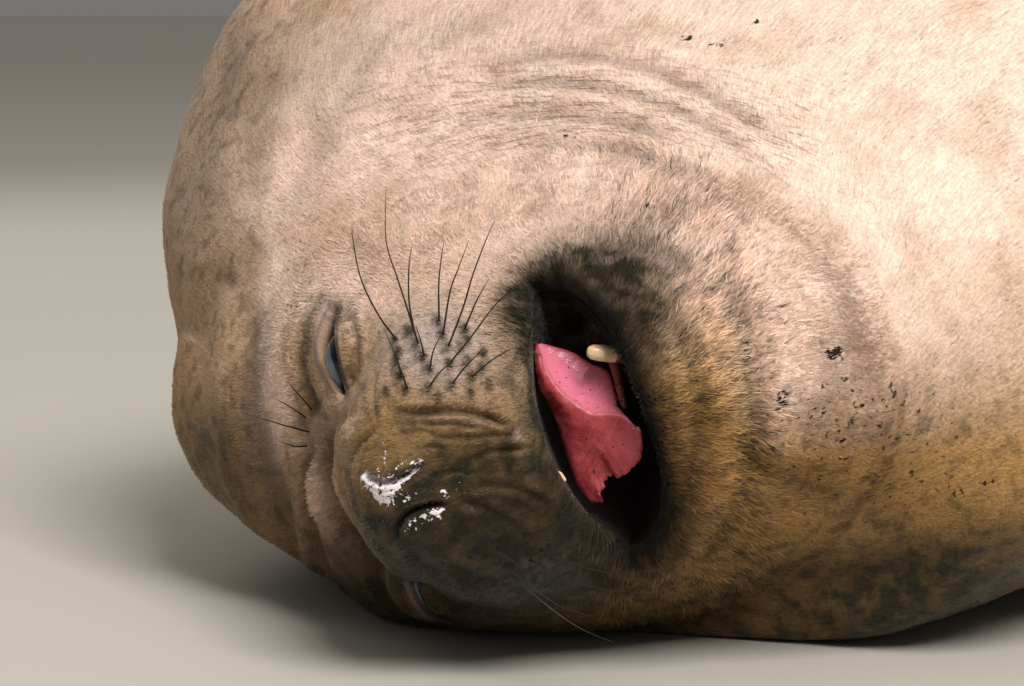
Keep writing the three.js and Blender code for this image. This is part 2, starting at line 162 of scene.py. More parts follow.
def body_loop(middle, back, belly, top, floor, along, roll=BODY_ROLL, squareness=2.2):
    """A loop from the x of back and belly and the z of top and floor, with a y for each of the four."""

    def loop(phi):
        c, s = np.cos(phi - math.radians(roll)), np.sin(phi - math.radians(roll))
        y_back, y_top, y_belly, y_floor = along
        x = middle[0] + (np.where(c > 0, back, belly) - middle[0]) * np.abs(c) ** (2 / squareness)
        y = np.where(c > 0, y_back, y_belly) * c * c + np.where(s > 0, y_top, y_floor) * s * s
        z = middle[1] + (np.where(s > 0, top, floor) - middle[1]) * np.abs(s) ** (2 / squareness)
        return np.stack([x, y, z], -1)

    return loop


def trunk_loop(y, back, belly, top, floor):
    middle = ((back + belly) / 2, (top + floor) / 2 - 10)
    return body_loop(middle, back, belly, top, floor, (y, y, y, y))


def point_loop(point):
    return lambda phi: np.broadcast_to(point, (len(phi), 3))


THROAT = on_head(0, -165, -100)
# Each loop has the spacing in millimetres that the rows of facets keep from it to the next.
LOOPS = [
    (point_loop(THROAT), 6),
    (head_loop([-140, -84], [38, -148, -100], [-140, -124]), 4),
    (head_loop([-78, -70], [62, -120, -92], [-96, -136]), 3),
    (head_loop([-30, -80], [76, -98, -87], [-58, -140]), 1.5),
    (head_loop([-17, -87], [80, -90, -86], [-44, -141]), 1.2),
    (head_loop([-7, -85], [86, -86, -85], [-36, -147]), 1.2),
    (head_loop([-2, -70], [92, -88, -82], [-38, -160]), 1.2),
    (head_loop([2, -36], [99, -96, -74], [-48, -177]), 1.1),
    (head_loop([3, 4], [105, -104, -66], [-56, -186]), 1.0),
    (head_loop([-8, 32], [110, -114, -57], [-61, -196]), 1.0),
    (head_loop([-46, 54], [117, -129, -45], [-67, -209], 2.1), 1.1),
    (head_loop([-108, 84], [125, -145, -32], [-76, -228], 2.2), 1.4),
    (head_loop([-158, 138], [138, -168, -26], [-86, -252], 2.2), 2.0),
    (head_loop([-214, 200], [156, -198, -22], [-97, -280], 2.1), 2.6),
    (body_loop((-88, 202), -420, 222, 366, -30, (172, 196, 214, 240), 30), 3),
    (body_loop((-124, 232), -505, 260, 478, -28, (292, 335, 300, 300), 23, 2.4), 4),
    (body_loop((-136, 246), -545, 264, 536, -26, (480, 500, 486, 490), 18, 2.3), 6),
    (trunk_loop(750, -538, 236, 552, -26), 10),
    (trunk_loop(1045, -512, 194, 536, -26), 11),
    (trunk_loop(1330, -466, 140, 486, -25), 11),
    (trunk_loop(1600, -414, 82, 402, -23), 11),
    (trunk_loop(1835, -358, 18, 314, -20), 9),
    (trunk_loop(2030, -300, -46, 226, -17), 7),
    (trunk_loop(2160, -256, -92, 158, -8), 6),
    (trunk_loop(2250, -224, -128, 112, 18), 5),
    (trunk_loop(2305, -202, -152, 90, 42), 3),
    (point_loop(TAIL_TIP), 3),
]
LIPS = 4.6  # where along the loops the rim of the lips lies
FACE_END = 13.0  # the loops up to here carry twice as many columns
FACE_COLUMNS = 720
EYES_AT_PHI = (43, 317)
EYE_CROWD = 1.5  # how many times more columns there are at the eyes
EYE_CROWD_SPREAD = 13.0  # degrees
LOOP_STEPS = 40  # places between two loops at which their distance is measured


def between(loops, along):
    """The skin at places along the loops, on a smooth curve through their four nearest loops."""
    first = np.clip(np.floor(along).astype(int), 0, len(loops) - 2)
    t = (along - first)[:, None, None]
    a, b, c, d = (loops[np.clip(first + k, 0, len(loops) - 1)] for k in (-1, 0, 1, 2))
    lean_b, lean_c = (c - a) / 2, (d - b) / 2
    return (
        b * (2 * t**3 - 3 * t**2 + 1)
        + lean_b * (t**3 - 2 * t**2 + t)
        + c * (3 * t**2 - 2 * t**3)
        + lean_c * (t**3 - t**2)
    )


def column_angles(count):
    """Angles round the body, closer together where the eyes are."""
    fine = np.linspace(0, 360, 3601)
    crowd = 1 + sum(EYE_CROWD * np.exp(-(((fine - at) / EYE_CROWD_SPREAD) ** 2)) for at in EYES_AT_PHI)
    share = np.concatenate([[0], np.cumsum((crowd[1:] + crowd[:-1]) / 2)])
    return np.radians(np.interp(np.arange(count) * share[-1] / count, share, fine))


def row_places():
    """Places of the rows along the loops, and how far each lies from the throat in millimetres."""
    fine = np.linspace(0, len(LOOPS) - 1, (len(LOOPS) - 1) * LOOP_STEPS + 1)
    around = np.radians(np.arange(0, 360, 15))
    loops = np.array([loop(around) for loop, _ in LOOPS])
    steps = np.linalg.norm(np.diff(between(loops, fine), axis=0), axis=-1).mean(1)
    gap = np.array([spacing for _, spacing in LOOPS])[np.minimum(fine[:-1].astype(int), len(LOOPS) - 1)]
    rows = np.concatenate([[0], np.cumsum(steps / gap)])
    count = int(rows[-1])
    places = np.interp(np.arange(1, count) * rows[-1] / count, rows, fine)
    return places, np.interp(places, fine, np.concatenate([[0], np.cumsum(steps)]))


SWELLS = [
    # place on the head, spread, which way it pushes, and whether the other side has it too
    ((66, -42, -32), 30, (6, 7, 0), True),  # whisker pads
    ((17, 0, 2), 17, (1, 6, 1), True),  # nostril cushions
    ((0, 2, -48), 12, (0, -4, 0), False),  # groove of the upper lip
    ((90, -126, 60), 30, (4, 13, 6), True),  # eyeballs under the lids
    ((64, -84, 22), 22, (-5, -3, -4), True),  # hollow before the eye
    ((0, -46, -168), 26, (0, 6, -3), False),  # chin
    ((0, -190, 150), 60, (0, -6, 10), False),  # fat of the crown
    ((30, -275, 240), 68, (6, 5, 17), False),  # roll of the nape
    ((-66, -208, 178), 56, (-9, -8, -25), False),  # cheek drawn in above the floor
    ((119, -327, 263), 55, (-4, -3, -11), False),  # hollow between nape and shoulder
    ((335, -525, 160), 110, (9, 7, 22), False),  # shoulder blade
]


def swell(points):
    moved = points.copy()
    for at, spread, (left, ahead, up), both in SWELLS:
        for side in (1, -1) if both else (1,):
            centre = on_head(side * at[0], at[1], at[2])
            share = np.exp(-(((points - centre) ** 2).sum(-1)) / spread**2)[..., None]
            moved += share * (side * left * HEAD_LEFT + ahead * FORWARD + up * HEAD_UP)
    return moved


def press(points):
    """Flesh that would sink into the floor spreads flat on it."""
    z = points[..., 2]
    soft = PRESS * np.logaddexp(0, np.minimum(z, 20 * PRESS) / PRESS)
    flat = np.maximum(np.where(z > 20 * PRESS, z, soft) - PRESS_FLAT, 0)
    return np.concatenate([points[..., :2], flat[..., None]], -1)


def grid_normals(points):
    """The outward normal at each point of a grid of hoops."""
    to_next = np.roll(points, -1, 1) - np.roll(points, 1, 1)
    normal = np.cross(to_next, np.gradient(points, axis=0))
    return normal / np.maximum(np.linalg.norm(normal, axis=-1, keepdims=True), 1e-9)


CELL_PRIMES = (73856093, 19349663, 83492791)  # large primes, which scatter the values of neighbouring cells
SEED_PRIME = 2654435761
MIX_PRIME = 1274126177


def grain(points, size, seed=0):
    """Smooth noise from -1 to 1 whose lumps are about so many millimetres wide."""
    at = np.asarray(points, float) / size
    cell = np.floor(at).astype(np.int64)
    part = at - cell
    part = part * part * (3 - 2 * part)
    total = np.zeros(at.shape[:-1])
    for corner in np.ndindex(2, 2, 2):
        x, y, z = np.moveaxis(cell + np.array(corner), -1, 0)
        value = (x * CELL_PRIMES[0]) ^ (y * CELL_PRIMES[1]) ^ (z * CELL_PRIMES[2]) ^ (seed * SEED_PRIME)
        value = (value ^ (value >> 13)) * MIX_PRIME
        value = ((value ^ (value >> 16)) & 0xFFFF) / 32767.5 - 1
        total += value * np.where(np.array(corner) == 1, part, 1 - part).prod(-1)
    return total


def smoothly(value, low, high):
    """A share that eases from 0 to 1 between two values."""
    share = np.clip((value - low) / (high - low), 0, 1)
    return share * share * (3 - 2 * share)


places, travelled = row_places()
in_face = places < FACE_END
face_angles = column_angles(FACE_COLUMNS)
body_angles = face_angles[::2]
BLOCKS = {}
for name, rows, angles in (("face", in_face, face_angles), ("trunk", ~in_face, body_angles)):
    loops = np.array([loop(angles) for loop, _ in LOOPS])
    points = swell(between(loops, places[rows]))
    BLOCKS[name] = {
        "points": points,
        "along": np.repeat(places[rows][:, None], len(angles), 1),
        "travel": np.repeat(travelled[rows][:, None], len(angles), 1),
        "phi": np.repeat(angles[None], rows.sum(), 0),
    }
# Each mark is a share from 0 to 1 at a point of the skin or the root of a hair, and the colours follow them.
MARKS = ("dark", "wet", "pale", "grit", "lining", "pad", "crease", "bare", "slit", "dirt_and_shade", "crinkle", "lid")
LIE_RADIUS = 200.0  # the lie of the coat is counted in millimetres along, and round a drum of this radius
for block in BLOCKS.values():
    block["normal"] = grid_normals(block["points"])
    across, down = LIE_RADIUS * np.cos(block["phi"]), LIE_RADIUS * np.sin(block["phi"])
    block["lie"] = np.stack([block["travel"], across, down], -1)
    for mark in ("raise", *MARKS):
        block[mark] = np.zeros(block["phi"].shape)

# The folds: skin too large for the drawn-in head, gathered in creases round the muzzle, the eyes and the
# neck. Each is a groove between soft rims, along a line that the picture shows, and where the other side
# of the head must have it too, it is pressed in there as well.
FOLDS = [
    # line in the picture's pixels, width and depth in millimetres, whether the other side has it too
    (
        [(352, 398), (338, 414), (329, 438), (327, 464), (332, 492), (346, 522), (368, 554), (396, 588)],
        3.8,
        9.0,
        False,
    ),
    ([(384, 420), (364, 436), (350, 452), (346, 474), (352, 500), (368, 530), (400, 560)], 2.6, 4.0, False),
    ([(380, 440), (366, 450), (358, 466), (358, 486), (366, 506)], 1.6, 1.3, False),
    ([(312, 424), (312, 450), (306, 476), (311, 514), (318, 545), (332, 584)], 3.6, 6.0, False),
    ([(262, 270), (254, 320), (252, 376), (255, 424), (268, 475), (286, 520), (312, 572)], 9, 4.0, False),
    ([(300, 350), (297, 382), (300, 420), (306, 450)], 3, 1.6, False),
    ([(330, 284), (312, 306), (303, 338), (304, 372), (314, 402), (330, 420)], 3, 3.0, True),
    ([(345, 300), (354, 328), (355, 358), (351, 388)], 2.6, 1.8, True),
    ([(376, 362), (374, 396), (378, 424)], 1.8, 1.4, False),
    ([(386, 410), (420, 411), (456, 408), (490, 416), (520, 431)], 2.4, 3.2, False),
    ([(420, 434), (460, 436), (500, 433), (520, 433)], 1.8, 2.2, False),
    ([(470, 463), (484, 453), (500, 448), (540, 446)], 2.0, 2.6, False),
    ([(418, 423), (450, 422), (480, 427)], 1.5, 1.3, False),
    ([(404, 450), (430, 445), (452, 447)], 1.4, 1.1, False),
    ([(398, 432), (420, 429), (440, 432)], 1.3, 0.9, False),
    ([(430, 478), (452, 470), (476, 472)], 1.5, 0.9, False),
    ([(455, 500), (480, 506), (510, 520), (540, 545)], 2.6, 2.0, False),
    ([(470, 486), (500, 484), (530, 492), (560, 512)], 2.6, 1.6, False),
    ([(430, 560), (470, 575), (520, 590), (570, 606)], 4, 3.6, False),
    ([(404, 524), (412, 545), (430, 566), (452, 582)], 3, 2.0, False),
    ([(560, 540), (590, 562), (620, 578), (650, 590)], 4, 2.6, False),
    ([(640, 296), (668, 330), (684, 380), (688, 440), (676, 500), (652, 560)], 6, 2.2, False),
    ([(700, 250), (738, 330), (748, 420), (732, 500), (690, 580)], 9, 2.6, False),
    ([(560, 245), (640, 250), (700, 290)], 5, 1.4, False),
    ([(228, 262), (210, 290), (196, 318), (186, 345)], 11, 3, False),
    ([(262, 236), (240, 256), (214, 290)], 10, 2, False),
    ([(470, 62), (560, 52), (650, 68), (730, 106), (800, 152)], 6, 2.4, False),
    ([(440, 90), (540, 80), (640, 96), (720, 130), (770, 176)], 5, 1.7, False),
    ([(430, 120), (520, 112), (620, 122), (690, 150)], 5, 1.6, False),
    ([(470, 150), (560, 142), (650, 160), (720, 200), (760, 260)], 5, 1.3, False),
    ([(800, 150), (830, 230), (840, 320), (820, 410), (780, 490)], 10, 1.3, False),
    ([(880, 140), (912, 230), (922, 330), (900, 440), (850, 540)], 13, 1.2, False),
    ([(700, 420), (760, 470), (840, 500), (930, 510)], 10, 2.0, False),
    ([(690, 520), (760, 560), (850, 575), (950, 560)], 10, 2.4, False),
    ([(336, 110), (306, 165), (286, 225)], 9, 2.0, False),
    ([(292, 50), (262, 100), (250, 160), (252, 215)], 9, 1.8, False),
    ([(238, 40), (224, 90), (214, 130)], 6, 1.6, False),
    ([(384, 30), (352, 84), (334, 132)], 7, 1.5, False),
]
RIM_AT = 1.9  # times the groove's width, from its middle to where the rims are highest
RIM_SPREAD = 0.6
FOLD_REACH = 4.5  # times the width, past which a fold does nothing
RUN_OUT = 0.22  # share of a fold's length over which it runs out at each end
TURNED = (0.05, 0.35)  # how squarely the skin faces the viewer where a fold begins and where it is whole
STEEP = 0.7  # depth for its width at which the painted shade in the bottom of a fold is whole
LEAST_WIDE = 5.0


def smooth_line(corners, count):
    """A smooth line through corners, as so many points."""
    corners = np.asarray(corners, float)
    padded = np.concatenate([2 * corners[:1] - corners[1:2], corners, 2 * corners[-1:] - corners[-2:-1]])
    at = np.linspace(0, len(corners) - 1, count)
    i = np.minimum(at.astype(int), len(corners) - 2)
    t = (at - i)[:, None]
    a, b, c, d = padded[i], padded[i + 1], padded[i + 2], padded[i + 3]
    return 0.5 * (2 * b + (c - a) * t + (2 * a - 5 * b + 4 * c - d) * t**2 + (3 * b - a - 3 * c + d) * t**3)


def near_line(pixels, line):
    """Each pixel's distance to a line, and how far along the line the nearest place is, from 0 to 1."""
    start, step = line[:-1], np.diff(line, axis=0)
    length2 = np.maximum((step**2).sum(-1), 1e-9)
    best = np.full(len(pixels), 1e9)
    where = np.zeros(len(pixels))
    for k in range(len(start)):
        away = pixels - start[k]
        t = np.clip((away @ step[k]) / length2[k], 0, 1)
        distance = np.hypot(*(away - t[:, None] * step[k]).T)
        closer = distance < best
        best[closer] = distance[closer]
        where[closer] = (k + t[closer]) / len(start)
    return best, where


def picture_of(block, mirrored=False):
    """The block's points, or their twins on the other side, in the picture's pixels, and how they face."""
    points, normal = block["points"], block["normal"]
    if mirrored:
        points = other_side(points)
        normal = other_side(normal + NOSE) - NOSE
    return seen_at(points.reshape(-1, 3)), (normal @ SIGHT_BACK).ravel()


def press_line(block, pixels, facing, corners, wide, deep, rim=0.4, mark=None, marked=1.0):
    """Presses a groove of some millimetres into the skin along a line of the picture, paints shade in it,
    and marks it.
    """
    line = smooth_line(corners, 4 * len(corners) + 1)
    reach = FOLD_REACH * wide * PIXELS_PER_MM
    inside = (
        (facing > TURNED[0])
        & (block["along"].ravel() > LIPS)
        & (pixels > line.min(0) - reach).all(1)
        & (pixels < line.max(0) + reach).all(1)
    )
    if not inside.any():
        return
    distance, where = near_line(pixels[inside], line)
    t = distance / PIXELS_PER_MM / wide
    ends = smoothly(np.minimum(where, 1 - where), 0, RUN_OUT) * smoothly(facing[inside], *TURNED)
    shape = (-np.exp(-(t**2)) + rim * np.exp(-((t - RIM_AT) ** 2) / RIM_SPREAD)) * deep * ends
    steep = np.clip(deep / (STEEP * max(wide, LEAST_WIDE)), 0, 1)
    block["raise"].ravel()[inside] += shape
    # The crease mark paints the shade that falls in the bottom of each groove, more where it is steep.
    block["crease"].ravel()[inside] += np.exp(-((1.3 * t) ** 2)) * ends * steep
    if mark:
        block[mark].ravel()[inside] += np.exp(-(t**2)) * ends * marked


for block in BLOCKS.values():
    seen = picture_of(block)
    twin = picture_of(block, mirrored=True)
    for corners, wide, deep, both in FOLDS:
        press_line(block, *seen, corners, wide, deep)
        if both:
            press_line(block, *twin, corners, wide, deep)

# The ridges: between the folds round the nose the skin stands in low welts, along which the fur is painted
# paler as a highlight.
RIDGE_HIGHLIGHT = 0.32
RIDGES = [
    # line in the picture's pixels, width and height in millimetres
    ([(352, 386), (330, 418), (320, 450), (320, 484), (328, 512), (350, 544), (386, 590)], 2.6, 1.2),
    ([(380, 404), (354, 422), (341, 444), (338, 470), (343, 496), (360, 526), (384, 552)], 2.0, 0.9),
    ([(292, 380), (302, 444), (300, 480), (303, 520), (312, 556), (336, 596)], 3.0, 1.2),
    ([(400, 418), (440, 416), (480, 421), (508, 430)], 1.6, 0.8),
    ([(480, 458), (510, 440), (530, 441)], 2.2, 0.8),
]
face = BLOCKS["face"]
# The pale mark on each welt is a painted highlight.
for corners, wide, high in RIDGES:
    press_line(face, *picture_of(face), corners, wide, -high, mark="pale", marked=RIDGE_HIGHLIGHT)

# The crinkles: the thin skin of the neck and throat puckers in fine lines across where it is drawn together,
# and fat and muscle show under all of it as shallow lumps. They are grown from smooth noise.
CRINKLE = 5.0  # millimetres from one to the next
CRINKLE_HIGH = 0.5
PUCKER = 13.0
PUCKER_HIGH = 0.7
CRINKLE_RUN = 7  # times as long as wide
CRINKLES_BEGIN = (8.5, 11.5)  # places along the loops
CRINKLES_END = (16, 18)
LUMPS = [
    # width and height in millimetres, seed, and the places along the loops between which they grow
    (60, 1.4, 9, (6, 9)),
    (9, 0.35, 11, (5, 6)),
    (24, 0.9, 12, (5, 6)),
]
for block in BLOCKS.values():
    points, along = block["points"], block["along"]
    uneven = 6 * grain(points, 45, 3)
    round_body = block["lie"][..., 1:] / CRINKLE_RUN
    drawn_out = np.concatenate([(block["travel"] + uneven)[..., None], round_body], -1)
    patchy = smoothly(grain(points, 90, 5), -0.35, 0.45)
    neck = smoothly(along, *CRINKLES_BEGIN) * (1 - smoothly(along, *CRINKLES_END))
    block["raise"] += CRINKLE_HIGH * grain(drawn_out, CRINKLE, 7) * patchy * neck
    block["raise"] += PUCKER_HIGH * grain(drawn_out, PUCKER, 8) * neck
    for size, high, seed, grown in LUMPS:
        block["raise"] += high * grain(points, size, seed) * smoothly(along, *grown)

# The whisker pads: two cushions of muscle beside the nose under greyer, thinner fur, each with rows of small
# dark pits in raised rims that the whiskers grow from.
PAD_MIDDLE = (437, 346)
PAD_REACH = (50, 42)
PIT_WIDE, PIT_DEEP = 1.5, 1.6  # millimetres
PIT_RIM_WIDE, PIT_RIM_HIGH = 3.8, 1.5
PIT_STRETCH = (1.25, 0.8)  # the pits are longer up the pad than across it
PIT_SHADE_WIDE, PIT_SHADE = 2.6, 1.5
PIT_ENDS = 20  # pixels
FOLLICLES = [
    # places in the picture's pixels, row by row from the eye towards the lip
    (396, 340), (401, 352), (408, 331), (418, 343), (414, 331),
    (424, 355), (430, 368), (407, 388), (401, 376), (429, 387),
    (450, 364), (448, 347), (443, 334), (439, 320), (452, 384),
    (469, 360), (473, 376), (465, 328), (468, 341),
    (388, 390), (398, 360), (461, 347),
    (484, 352), (482, 368), (490, 384), (471, 394), (440, 396),
]
for mirrored in (False, True):
    pixels, facing = picture_of(face, mirrored)
    on_pad = (((pixels - PAD_MIDDLE) / PAD_REACH) ** 2).sum(1)
    near = (facing > 0) & (face["along"].ravel() > LIPS) & (on_pad < 4)
    face["pad"].ravel()[near] += np.exp(-(on_pad[near] ** 1.5)) * smoothly(facing[near], 0, 0.3)
    for corner in FOLLICLES:
        close = near & (((pixels - corner) ** 2).sum(1) < PIT_ENDS**2)
        away = (pixels[close] - corner) / PIXELS_PER_MM * PIT_STRETCH
        distance = np.hypot(away[:, 0], away[:, 1])
        rim = PIT_RIM_HIGH * np.exp(-((distance / PIT_RIM_WIDE) ** 2))
        face["raise"].ravel()[close] += rim - PIT_DEEP * np.exp(-((distance / PIT_WIDE) ** 2))
        face["dark"].ravel()[close] += PIT_SHADE * np.exp(-((distance / PIT_SHADE_WIDE) ** 2))

# The wart: a small knob of bare skin on the edge of the upper lip. It stands a few millimetres proud of the
# fur and is smooth and greyish pink.
WART_SEEN_AT = (517, 433)
WART_RADIUS = 3.6
WART_HIGH = 3.2
pixels, facing = picture_of(face)
distance = np.hypot(*(pixels - WART_SEEN_AT).T) / PIXELS_PER_MM
near = (facing > 0.05) & (face["along"].ravel() > LIPS) & (distance < 3 * WART_RADIUS)
face["raise"].ravel()[near] += WART_HIGH * np.exp(-((distance[near] / WART_RADIUS) ** 2))
face["bare"].ravel()[near] += 0.9 * np.exp(-((distance[near] / WART_RADIUS) ** 4))

# The ears: two pinholes in the fur behind the eyes, with no flap. Each is a dark pit in a low ring of skin
# that muscle can draw shut.
EAR_AT = (153, -197, 18)  # millimetres left, ahead and up from the nose tip
EAR_RING, EAR_RING_WIDE, EAR_RING_HIGH = 5.0, 2.2, 1.2
EAR_HOLE_WIDE, EAR_HOLE_DEEP = 2.4, 5.0
for side in (1, -1):
    places_apart = np.linalg.norm(face["points"] - on_head(side * EAR_AT[0], *EAR_AT[1:]), axis=-1)
    hole = face["points"][np.unravel_index(np.argmin(places_apart), places_apart.shape)]
    distance = np.linalg.norm(face["points"] - hole, axis=-1)
    ring = EAR_RING_HIGH * np.exp(-(((distance - EAR_RING) / EAR_RING_WIDE) ** 2))
    face["raise"] += ring - EAR_HOLE_DEEP * np.exp(-((distance / EAR_HOLE_WIDE) ** 2))
    # The dark and black laid in the pit are painted shade.
    face["dark"] += np.exp(-((distance / 3.2) ** 2))
    face["slit"] += np.exp(-((distance / 2.0) ** 2))

# The lids: a narrow crescent between two thick folds, open just enough to show the eye. The lower one is
# drawn tight where the cheek rests on the floor. The skin of both lies close on the ball of the eye.
EYE_RADIUS = 25.0
LID_THICK = 1.1
EYE_SEEN_AT = (335, 348)
LIDS_REACH = (50, 76)
LIDS = [
    # whether it is the lower eye, how deep the gap is, how much of the ball shows, back and front margin
    (
        False,
        6.0,
        1.0,
        [(334, 303), (325, 326), (321, 350), (328, 374), (341, 394)],
        [(339, 301), (334, 331), (336, 355), (341, 373), (345, 394)],
    ),
    (
        True,
        2.2,
        0.25,
        [(335, 303), (329, 326), (327, 350), (332, 374), (341, 394)],
        [(338, 301), (332, 331), (332, 355), (338, 373), (344, 394)],
    ),
]
# Heights in the picture between which each of these begins above the eye, and ends below it.
HUGGED = (288, 312), (384, 408)
OPENED = (301, 310), (387, 396)
EDGED = (294, 310), (385, 400)
BAGGED = (296, 322), (372, 400)
BALL_SHOWS = (312, 386)
MARGIN_HIGH, BAG_HIGH, BAG_BACK = 1.3, 1.8, 9.0  # millimetres
EYES = {}


def within_margins(pixels, back, front):
    """How far pixels lie past the back margin of the lids, and inside both margins, in millimetres."""
    x, y = pixels.T
    from_back = (x - np.interp(y, back[:, 1], back[:, 0])) / PIXELS_PER_MM
    from_front = (np.interp(y, front[:, 1], front[:, 0]) - x) / PIXELS_PER_MM
    return from_back, np.minimum(from_back, from_front)


def over(height, begins, ends):
    """A share that is whole between two spans of heights, and eases off over each."""
    return smoothly(height, *begins) * (1 - smoothly(height, *ends))


for mirrored, deep, shown, back, front in LIDS:
    pixels, facing = picture_of(face, mirrored)
    back, front = smooth_line(back, 24), smooth_line(front, 24)
    near = (facing > 0.1) & (np.abs(pixels - EYE_SEEN_AT) < LIDS_REACH).all(1) & (face["along"].ravel() > 8)
    y = pixels[near, 1]
    _, within = within_margins(pixels[near], back, front)
    slit = near.nonzero()[0][(within > 0.6) & (y > BALL_SHOWS[0]) & (y < BALL_SHOWS[1])]
    points = face["points"].reshape(-1, 3)
    outwards = face["normal"].reshape(-1, 3)[slit].mean(0)
    outwards /= np.linalg.norm(outwards)
    centre = points[slit].mean(0) - outwards * (EYE_RADIUS + LID_THICK)
    EYES["right" if mirrored else "left"] = (centre, outwards)
    hug = np.exp(-((np.minimum(within, 0) / 7) ** 2)) * over(y, *HUGGED)
    away = points[near] - centre
    distance = np.linalg.norm(away, axis=-1)
    drawn_in = np.maximum(distance - EYE_RADIUS - LID_THICK, 0) * hug
    points[near] -= away * (drawn_in / distance)[:, None]
    moved = seen_at(other_side(points[near]) if mirrored else points[near])
    y = moved[:, 1]
    from_back, within = within_margins(moved, back, front)
    opened = smoothly(within, -0.7, 0.7) * over(y, *OPENED)
    edge = np.exp(-((within + 1.8) ** 2) / 2.0) * over(y, *EDGED)
    bag = np.exp(-(((from_back + BAG_BACK) / 5) ** 2)) * over(y, *BAGGED)
    margin = np.exp(-((within + 1.5) ** 2) / 10) * over(y, *OPENED)
    face["raise"].ravel()[near] += MARGIN_HIGH * edge + BAG_HIGH * bag - deep * opened
    face["bare"].ravel()[near] += 0.6 * edge * (from_back < 0)
    face["lining"].ravel()[near] += opened * shown
    face["wet"].ravel()[near] += edge
    face["lid"].ravel()[near] += np.maximum(margin, opened)
    face["dark"].ravel()[near] += edge * np.where(from_back > 0, 0.85, 0.45)
face["normal"] = grid_normals(face["points"])

# The nostrils: two slits held shut in a crescent by the flesh round them, each with a bare, damp rim. They
# open only for a breath.
NOSTRIL_SLITS = [
    [(362, 468), (371, 476), (383, 481), (396, 478), (412, 469), (430, 456)],
    [(396, 543), (397, 527), (404, 516), (416, 508), (432, 503), (452, 504)],
]
SLIT_WIDE, SLIT_DEEP = 1.5, 8.0  # millimetres
SLIT_RIM_WIDE, SLIT_RIM_DEEP = 3.4, 1.2
pixels, facing = picture_of(face)
for slit in NOSTRIL_SLITS:
    # The slit mark paints black shade into each groove.
    press_line(face, pixels, facing, slit, SLIT_WIDE, SLIT_DEEP, rim=0.3, mark="slit")
    press_line(face, pixels, facing, slit, SLIT_RIM_WIDE, SLIT_RIM_DEEP, rim=0.9, mark="wet", marked=0.8)

# The salt: dry salt and sand that stick to the damp skin round the nostrils in a pale crust, thickest at the
# left one.
SALT_PRESS = 0.01  # millimetres, next to nothing, since only its colour is laid here
SALT = [
    # line in the picture's pixels, how wide in millimetres, how thick the salt lies
    ([(360, 466), (369, 479), (379, 491), (387, 503)], 3.4, 1.0),
    ([(384, 502), (391, 489), (406, 476), (430, 455)], 2.2, 1.0),
    ([(379, 478), (384, 460), (385, 436)], 1.1, 0.8),
    ([(368, 474), (386, 484), (400, 478)], 3.4, 0.9),
    ([(388, 480), (398, 466), (412, 460), (424, 458)], 1.8, 0.55),
    ([(372, 486), (384, 500), (398, 500), (420, 492)], 3.0, 0.42),
    ([(402, 543), (408, 526), (420, 515), (440, 509), (452, 508)], 1.5, 0.75),
    ([(440, 485), (446, 492), (452, 500)], 2.0, 0.5),
    ([(418, 524), (432, 517), (446, 512)], 2.5, 0.45),
]
for line, wide, thick in SALT:
    press_line(face, pixels, facing, line, wide, SALT_PRESS, mark="grit", marked=thick)
